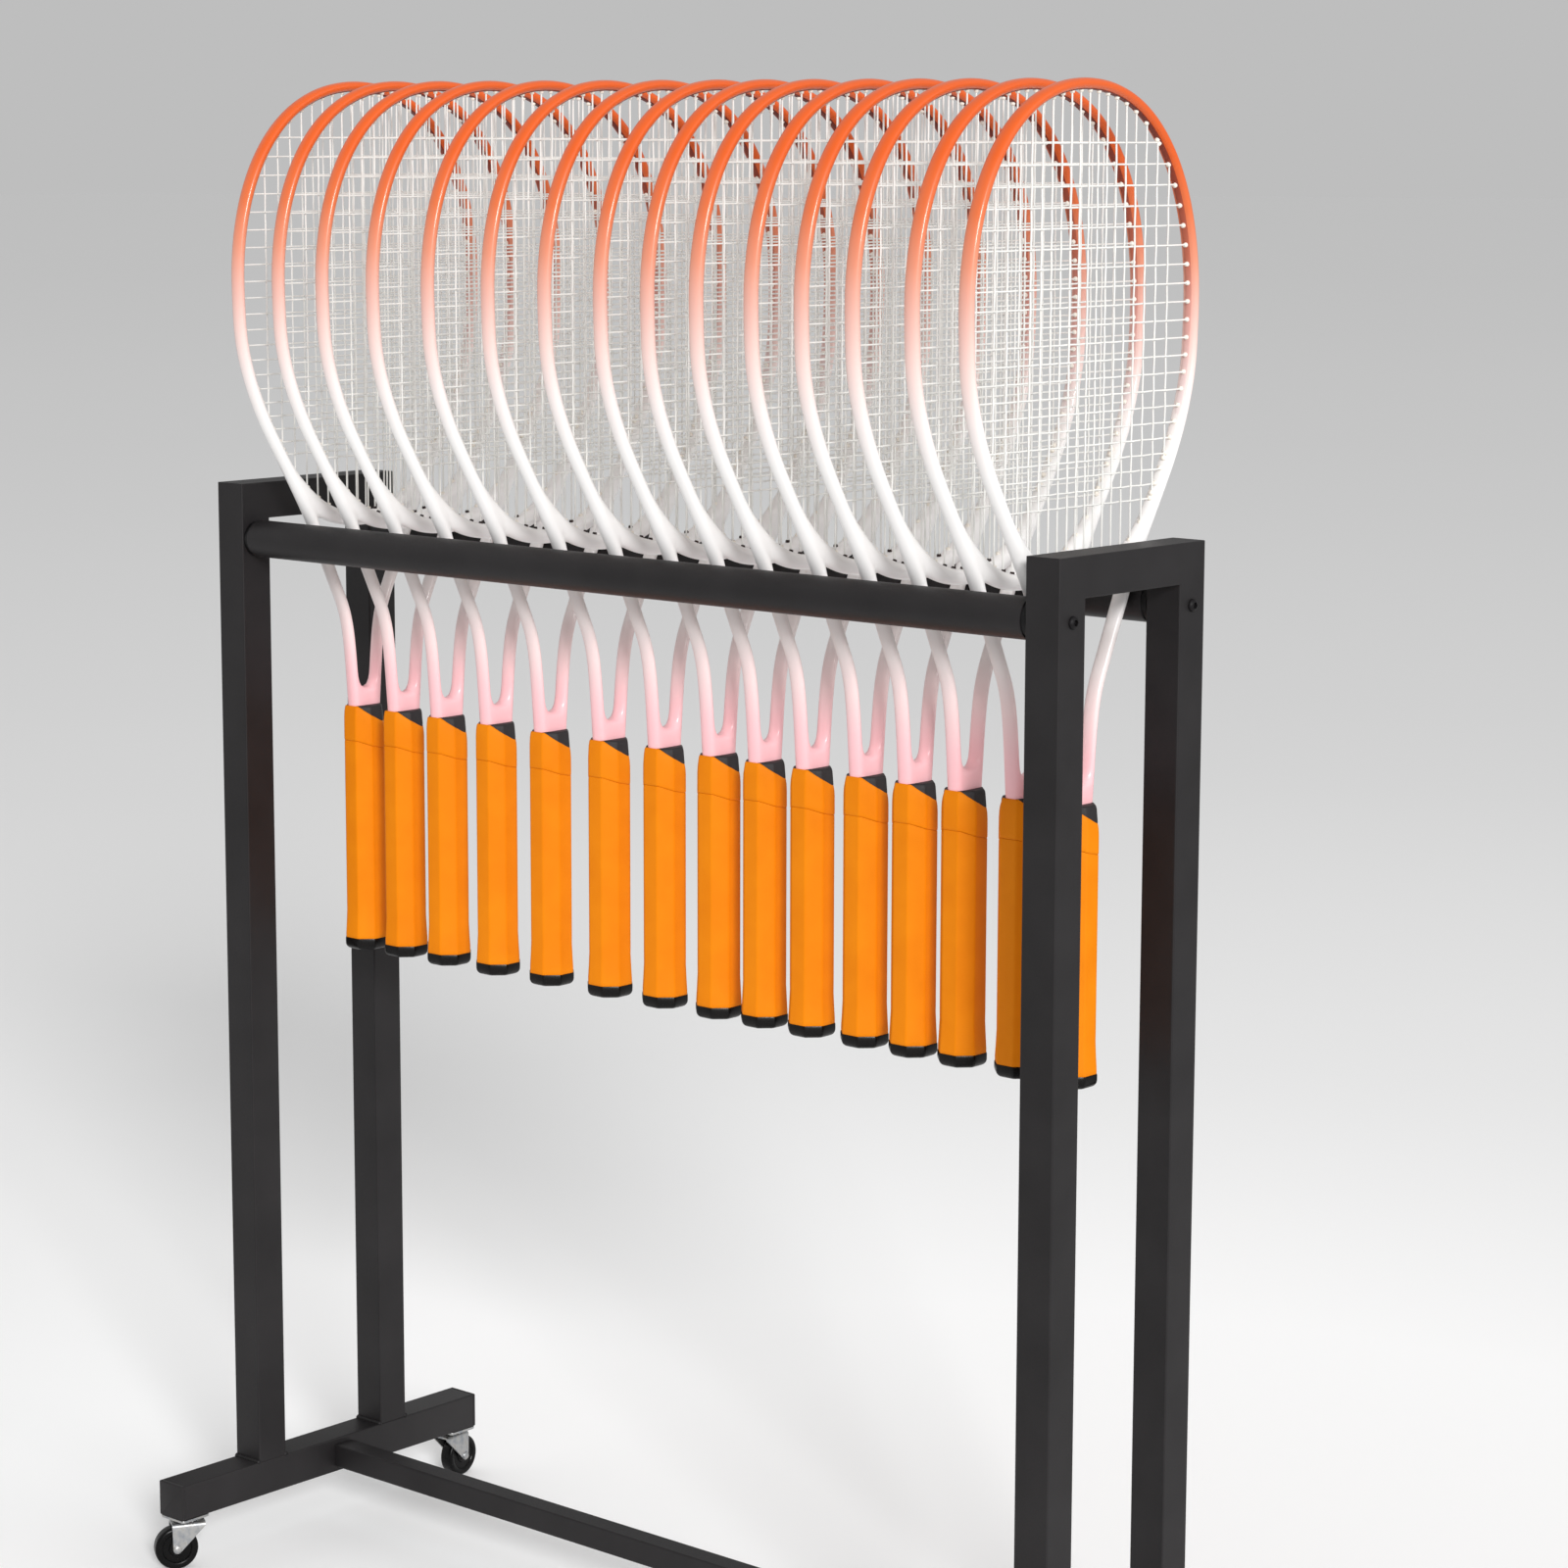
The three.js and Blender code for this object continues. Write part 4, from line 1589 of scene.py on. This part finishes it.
@dataclass
class Grip:
    """The grip of a racket: butt cap, wound tape with its finishing band, and collar."""

    butt: float
    width: float = 31.5
    corner: float = 3.0
    corner_steps: int = 4
    top: float = 197.0
    collar_width: float = 28.2
    cap_width: float = 34.0
    cap_height: float = 9.5
    cap_round: float = 5.0
    taper_top: float = 32.0
    seam_below: float = 28.0
    wedge: float = 12.3
    wedge_turn: float = 62.0

    def octagon(self, width: float) -> list[Vector]:
        """Outline of the eight-sided grip with soft corners.

        Args:
            width: Across its flats.

        Returns:
            Its points, round the grip.
        """
        outline, eighth = [], math.pi / 4
        corner = min(self.corner, width / 5)
        for i in range(8):
            start = eighth * i
            middle = Vector((math.cos(start + eighth / 2), math.sin(start + eighth / 2)))
            centre = middle * ((width / 2 - corner) / math.cos(eighth / 2))
            outline += arc(centre, corner, start, eighth, self.corner_steps)
        return outline

    def wedge_drop(self, angle: float) -> float:
        """How far the tape's slanted end lies below its top at an angle round the grip.

        Args:
            angle: The angle in radians.

        Returns:
            Its share of the whole slant.
        """
        low, flat, high = 104, 230, 300
        turned = (math.degrees(angle) + self.wedge_turn) % 360
        if turned < low:
            start = math.cos(math.radians(low))
            return (math.cos(math.radians(turned - low)) - start) / (1 - start)
        if turned < flat:
            return 1.0
        return max(0.0, (high - turned) / (high - flat))

    def sleeve(self, name: str, levels: Sequence[tuple[float, float, float]], finish: Finish) -> Thing:
        """Makes an eight-sided sleeve.

        Args:
            name: The piece's name.
            levels: Width, height above the butt, and share of the slant, from below up.
            finish: Its finish.

        Returns:
            The piece.
        """
        rings = []
        for width, height, slant in levels:
            ring = []
            for spot in self.octagon(width):
                drop = self.wedge * slant * self.wedge_drop(math.atan2(spot.y, spot.x))
                ring.append((*spot, self.butt + height - drop))
            rings.append(ring)
        return Shell().loft(rings).piece(name, finish, sharp=50)

    def build(self) -> dict[str, Thing]:
        """Makes the butt cap, tape, finishing band and collar.

        Returns:
            The pieces by name.
        """
        w, top, cap, low = self.width, self.top, self.cap_height, self.taper_top
        seam, r, neck, wide = top - self.seam_below, self.cap_round, self.collar_width, self.cap_width
        tape = [(wide - 1.8, cap - 0.6, 0), (wide - 0.9, cap + 0.2, 0), (wide - 0.9, cap + 3, 0),
                ((w + wide) / 2 - 0.6, (cap + low) / 2, 0), (w - 0.4, low, 0), (w - 0.3, low + 6, 0),
                (w - 0.3, seam - 12, 0.3), (w - 0.3, seam - 1.2, 0.55), (w - 0.5, seam - 0.3, 0.55),
                (w - 1.1, seam - 0.1, 0.55)]
        band = [(w - 1.1, seam, 0.55), (w - 0.5, seam + 0.2, 0.55), (w - 0.05, seam + 1.0, 0.55),
                (w, seam + 4, 0.6), (w - 0.1, top - 10, 0.92), (w - 0.6, top - 5, 0.97),
                (w - 1.6, top - 1.6, 1.0), (w - 2.4, top - 0.5, 1.0), (w - 3.6, top - 0.2, 1.0)]
        collar = [(w - 2.4, top - 22, 0), (w - 2.4, top - 16, 0), (w - 1.9, top - 12, 0), (neck, top - 3, 0),
                  (neck - 0.8, top - 1.2, 0), (neck - 2.0, top - 0.3, 0), (neck - 4.0, top, 0)]
        butt = [(wide - 17, 0.9, 0), (wide - 16, 0.25, 0)]
        butt += [(wide - 2 * r * (1 - math.sin(a)), r * (1 - math.cos(a)), 0)
                 for a in (math.pi / 2 * i / 6 for i in range(7))]
        butt += [(wide, cap - 1.0, 0), (wide - 0.5, cap - 0.2, 0), (wide - 3, cap, 0)]
        return {
            "grip_sleeve": self.sleeve("racket_tape_maker", tape, GripTape()),
            "grip_band": self.sleeve("racket_band_maker", band, GripTape()),
            "collar": self.sleeve("racket_collar_maker", collar, GripRubber()),
            "butt_cap": self.sleeve("racket_cap_maker", butt, CapPlastic()),
        }


@dataclass
class Racket:
    """Maker of the rackets: its pieces are built once at X 0 and copied to each place."""

    butt: float
    shape: RacketShape = field(default_factory=RacketShape)
    pattern: StringPattern = field(default_factory=StringPattern)
    step: float = 16.0
    shaft_step: float = 7.0
    shaft_steps: int = 3
    bridge_steps: int = 4
    lean_share: float = 0.3
    lean_above: float = 25.0
    lean_fade: float = 70.0
    sharpening_passes: int = 3
    barrel_radius: float = 2.0
    barrel_height: float = 2.8
    barrel_sunk: float = 0.6
    marked_half: float = 26.0
    strip_floor: float = 455.0
    strip_half_width: float = 2.5
    strip_buried: float = 0.35
    strip_rise: float = 0.45

    def raised(self, point: Vector, x: float = 0.0) -> Vector:
        """A point of the racket's lines in the row frame."""
        return Vector((x, point.x, point.y + self.butt))

    def middle_line(self) -> tuple[list[Vector], int]:
        """Middle line of the right half, spaced for subdivision.

        Returns:
            Its points, and the number of the point where the bridge starts.
        """
        shape = self.shape
        set_in = shape.thickness / 2 + shape.clear
        dense, edge = beside(shape.outer(), -set_in), beside(shape.outer(), -shape.thickness)
        walked = list(accumulate(((b - a).length for a, b in zip(dense, dense[1:])), initial=0.0))
        marks = []
        for height in (shape.crotch, shape.bridge_under + shape.bridge_under_rise, shape.bridge_end):
            i, share = passing(edge, height)
            marks.append(walked[i - 1] + (walked[i] - walked[i - 1]) * share)
        marks.append(walked[-1])
        arm, hoop = (round((end - start) / self.step) for start, end in (marks[:2], marks[2:]))
        shaft_x, middle = shape.shaft_half_width - set_in, []
        for i in range(self.shaft_steps, 0, -1):
            height = shape.crotch - self.shaft_step * i
            x = at_height(dense, height).x if height > shape.shaft_top + 1 else shaft_x
            middle.append(Vector((x, height)))
        distances = marks[:1]
        for start, end, count in zip(marks, marks[1:], (arm, 1, hoop)):
            distances += [start + (end - start) * i / count for i in range(1, count + 1)]
        for distance in distances:
            i = next((i for i, w in enumerate(walked) if w >= distance and i), len(walked) - 1)
            share = (distance - walked[i - 1]) / (walked[i] - walked[i - 1])
            middle.append(dense[i - 1].lerp(dense[i], min(share, 1.0)))
        middle[-1].x = 0
        return middle, self.shaft_steps + arm

    def halves(self) -> tuple[list[Vector], list[Vector], int]:
        """Outer and inner line of the right half, drawn wide by what subdivision takes away.

        Returns:
            The outer points, the inner points, and the number of the point where the bridge starts.
        """
        target, start_bridge = self.middle_line()
        middle = list(target)
        for _ in range(self.sharpening_passes):
            behind, ahead = middle[:1] + middle[:-1], middle[1:] + [flip(middle[-2])]
            smooth = [(a + point * 4 + b) / 6 for a, point, b in zip(behind, middle, ahead)]
            middle = [p + (t - s) if i >= self.shaft_steps else p
                      for i, (p, t, s) in enumerate(zip(middle, target, smooth))]
        half = self.shape.thickness / 2 / KEPT_WIDTH
        outer, inner = (beside(middle, side * half, self.shaft_steps) for side in (1, -1))
        for i, (axis, edge_point) in enumerate(zip(middle, inner)):
            share = min(max((axis.y - self.shape.crotch - self.lean_above) / self.lean_fade, 0.0), 1.0)
            inner[i] = edge_point.lerp(axis, self.lean_share * (1 - share))
        return outer, inner, start_bridge

    def frame(self) -> Thing:
        """Makes the hoop, arms, bridge and shaft as one smooth moulded body.

        Returns:
            The piece.
        """
        shape, (outer, inner, start) = self.shape, self.halves()
        loops = []
        for i in range(len(outer) - 1):
            right = [outer[i], outer[i + 1], inner[i + 1], inner[i]]
            loops += [right, [flip(point) for point in reversed(right)]]
        loops += [[inner[i], inner[i + 1], flip(inner[i + 1]), flip(inner[i])]
                  for i in range(self.shaft_steps)]
        low, high = (shape.bridge_edge(height, arm, self.bridge_steps) for height, arm in (
            (shape.bridge_under, inner[start]), (shape.bridge_top, inner[start + 1])))
        low, high = ([flip(point) for point in reversed(edge[1:])] + edge for edge in (low, high))
        loops += [[low[i], low[i + 1], high[i + 1], high[i]] for i in range(len(low) - 1)]
        numbers: dict[tuple[float, ...], int] = {}
        quads = [tuple(numbers.setdefault(tuple(point), len(numbers)) for point in loop) for loop in loops]
        sides = {(a, b): None for quad in quads for a, b in zip(quad, quad[1:] + quad[:1])}
        half, count = shape.depth / 2 / KEPT_WIDTH, len(numbers)
        shell = Shell([self.raised(Vector(point), side * half) for side in (1, -1) for point in numbers])
        shell.faces = quads + [tuple(i + count for i in reversed(quad)) for quad in quads]
        shell.faces += [(b, a, a + count, b + count) for a, b in sides if (b, a) not in sides]
        piece = shell.piece("racket_frame_maker", FadingLacquer(), sharp=180)
        rounding = piece.modifiers.new("rounding", "SUBSURF")
        rounding.levels = rounding.render_levels = 2
        return plain(piece)

    def strings(self) -> Thing:
        """Makes the woven strings from their guide lines.

        Returns:
            The piece.
        """
        pattern, opening = self.pattern, self.shape.opening()
        mains, crosses = pattern.main_places(), pattern.cross_places()
        points, edges, over = [], [], []
        for axis, own, others, swing in ((0, mains, crosses, pattern.main_weave / pattern.weave),
                                         (1, crosses, mains, -1.0)):
            for i, level in enumerate(own):
                low, high = (place[1 - axis] for place, _ in crossings(opening, axis, level))
                between = [(other, swing if (i + j) % 2 else -swing) for j, other in enumerate(others)
                           if low + pattern.clear < other < high - pattern.clear]
                start, end = sorted((low - pattern.bite, high + pattern.bite), reverse=axis == 0)
                stops = [(start, 0.0), *between, (end, 0.0)]
                first = len(points)
                points += [self.raised(Vector((level, along) if axis == 0 else (along, level)))
                           for along, _ in stops]
                over += [side for _, side in stops]
                edges += [(first + k, first + k + 1) for k in range(len(stops) - 1)]
        return grow("racket_strings_maker", string_tree(), {
            "Thickness": pattern.thickness * MM, "Weave": pattern.weave * MM, "Finish": StringNylon().build(),
        }, points, edges, over=over)

    def grommets(self, name: str, finish: Finish, at_bridge: bool) -> Thing:
        """Makes a grommet barrel where each string enters the hoop, or the bridge.

        Args:
            name: The piece's name.
            finish: Its finish.
            at_bridge: True for the barrels of the bridge, False for those of the hoop.

        Returns:
            The piece.
        """
        opening, shape = self.shape.opening(), self.shape
        points, inward = [], []
        for axis, levels in enumerate((self.pattern.main_places(), self.pattern.cross_places())):
            for place, along in (found for level in levels for found in crossings(opening, axis, level)):
                if (place.y < shape.bridge_end and abs(place.x) < self.marked_half) == at_bridge:
                    normal = Vector((-along.y, along.x))
                    points.append(self.raised(place - normal * self.barrel_sunk))
                    inward.append(Vector((0, normal.x, normal.y)))
        return grow(name, barrel_tree(), {
            "Radius": self.barrel_radius * MM, "Height": self.barrel_height * MM, "Finish": finish.build(),
        }, points, inward=inward)

    def strip(self) -> Thing:
        """Makes the grommet strip that lies round the inside of the head's upper part.

        Returns:
            The piece.
        """
        inner = beside(self.shape.outer(), self.strip_buried - self.shape.thickness)
        half = [point for point in inner if point.y > self.strip_floor]
        line = half + [flip(point) for point in reversed(half[:-1])]
        rings = []
        for i, spot in enumerate(line):
            along = (line[min(i + 1, len(line) - 1)] - line[max(i - 1, 0)]).normalized()
            inward = Vector((-along.y, along.x))
            full = min(i, len(line) - 1 - i, 2) / 2
            wide = self.strip_half_width * (0.6 + 0.4 * full)
            proud = self.strip_buried + self.strip_rise * full
            profile = [(-wide, -0.3), (-wide, proud * 0.6), (-wide * 0.75, proud), (wide * 0.75, proud),
                       (wide, proud * 0.6), (wide, -0.3)]
            rings.append([self.raised(spot + inward * out, x) for x, out in profile])
        return Shell().loft(rings).piece("racket_strip_maker", StripNylon())

    def build(self, places: Sequence[float]) -> None:
        """Builds the pieces once and copies them to each racket.

        Args:
            places: X of each racket's middle, in millimetres.
        """
        makers = {"hoop": self.frame(), "strings": self.strings(), "grommet_strip": self.strip(),
                  "hoop_grommets": self.grommets("racket_hoop_grommets_maker", ClearNylon(), False),
                  "bridge_grommets": self.grommets("racket_bridge_grommets_maker", GrommetNylon(), True),
                  **Grip(self.butt).build()}
        nodes = {"hoop": "frame", "grip_sleeve": "grip"}
        for number, x in enumerate(places, 1):
            body = f"racket_{number:02d}"
            for part, maker in makers.items():
                mesh = maker.data.copy()
                mesh.transform(at((x * MM, 0, 0)))
                mesh.name = name = f"{body}_{part}"
                stands_for = [f"{body}_{nodes[part]}"] if part in nodes else []
                rides(put(name, mesh), body, stands_for)
        for maker in makers.values():
            bpy.data.objects.remove(maker)


# Studio


@dataclass(frozen=True)
class Lamp:
    """A far soft lamp that shines from aim, its shadows softened by a spread in degrees."""

    name: str
    aim: tuple[float, float, float]
    strength: float
    spread: float

    def build(self) -> Thing:
        """Makes the lamp.

        Returns:
            The lamp.
        """
        data = bpy.data.lights.new(self.name, "SUN")
        data.energy, data.angle = self.strength, math.radians(self.spread)
        lamp = put(self.name, data)
        lamp.rotation_mode = "QUATERNION"
        lamp.rotation_quaternion = Vector(self.aim).to_track_quat("Z", "Y")
        return lamp


@dataclass
class Studio:
    """Camera, plain pale floor and soft light."""

    eye: tuple[float, float, float] = (2.0290, -2.1844, 1.1531)
    azimuth: float = 41.36
    look_down: float = 9.29
    roll: float = 0.16
    lens: float = 93.4
    sensor: float = 36.0
    far_clip: float = 200.0
    floor_radius: float = 60.0
    horizon: str = "#bebebe"
    ambient: float = 0.58
    lamps: tuple[Lamp, ...] = (
        Lamp("key", (1.0, -0.7, 0.48), 2.6, 14),
        Lamp("fill", (1.0, 0.25, 0.5), 0.6, 60),
        Lamp("left_fill", (-1.0, -0.45, 0.35), 0.28, 70),
    )

    def camera(self) -> Thing:
        """Makes the camera at the photograph's viewing angle.

        Returns:
            The camera.
        """
        turn, down, roll = (math.radians(v) for v in (self.azimuth, self.look_down, self.roll))
        ahead = Vector((-math.sin(turn) * math.cos(down), math.cos(turn) * math.cos(down), -math.sin(down)))
        right = Vector((math.cos(turn), math.sin(turn), 0))
        up = right.cross(ahead)
        side = right * math.cos(roll) + up * math.sin(roll)
        top = up * math.cos(roll) - right * math.sin(roll)
        data = bpy.data.cameras.new("camera")
        data.sensor_width, data.lens, data.clip_end = self.sensor, self.lens, self.far_clip
        camera = put("camera", data)
        axes = Matrix((side, top, -ahead)).transposed()
        camera.matrix_world = Matrix.Translation(self.eye) @ axes.to_4x4()
        bpy.context.scene.camera = camera
        return camera

    def floor(self) -> Thing:
        """Makes the floor, which reaches to the horizon.

        Returns:
            The floor.
        """
        mesh = bpy.data.meshes.new("floor")
        shape = bmesh.new()
        bmesh.ops.create_circle(shape, cap_ends=True, radius=self.floor_radius, segments=96)
        shape.to_mesh(mesh)
        shape.free()
        mesh.materials.append(BackgroundPaper().build())
        floor = put("studio_floor", mesh)
        return floor

    def world(self) -> None:
        """Lights everything evenly, and shows a plain grey behind the floor."""
        world = bpy.data.worlds.new("studio")
        world.use_nodes = True
        bpy.context.scene.world = world
        tree = world.node_tree
        tree.nodes.clear()
        rays = add(tree, "ShaderNodeLightPath")
        around = add(tree, "ShaderNodeBackground", {"Color": (1, 1, 1, 1), "Strength": self.ambient})
        behind = add(tree, "ShaderNodeBackground", {"Color": linear(self.horizon), "Strength": 1.0})
        seen = rays.outputs["Is Camera Ray"]
        for other in ("Is Glossy Ray", "Is Transmission Ray"):
            seen = add(tree, "ShaderNodeMath", {0: seen, 1: rays.outputs[other]}, operation="MAXIMUM")
        mix = add(tree, "ShaderNodeMixShader", {0: seen, 1: around, 2: behind})
        add(tree, "ShaderNodeOutputWorld", {0: mix})

    def build(self) -> None:
        """Builds the studio, with a key from the front right and above and broad weak fills."""
        self.camera()
        bpy.context.scene.view_settings.view_transform = "Standard"
        self.floor()
        self.world()
        for lamp in self.lamps:
            lamp.build()


def main() -> None:
    """Builds the scene in order: studio, stand, casters and rackets."""
    logging.basicConfig(level=logging.INFO, format="%(message)s")
    Studio().build()
    sizes = StandSizes()
    for end in End:
        EndFrame(end, sizes).build()
    CrossPieces(sizes).build()
    turns = {(End.LEFT, Row.FRONT): 60.0, (End.LEFT, Row.REAR): -85.0,
             (End.RIGHT, Row.REAR): 240.0, (End.RIGHT, Row.FRONT): 95.0}
    for (end, row), turn in turns.items():
        Caster(end, row, turn, sizes).build()
    grips = [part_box(f"racket_{number:02d}_grip") for number in range(1, 16)]
    places = [(low.x + high.x) / 2 / MM for low, high in grips]
    Racket(grips[0][0].z / MM).build(places)


if __name__ == "__main__":
    main()
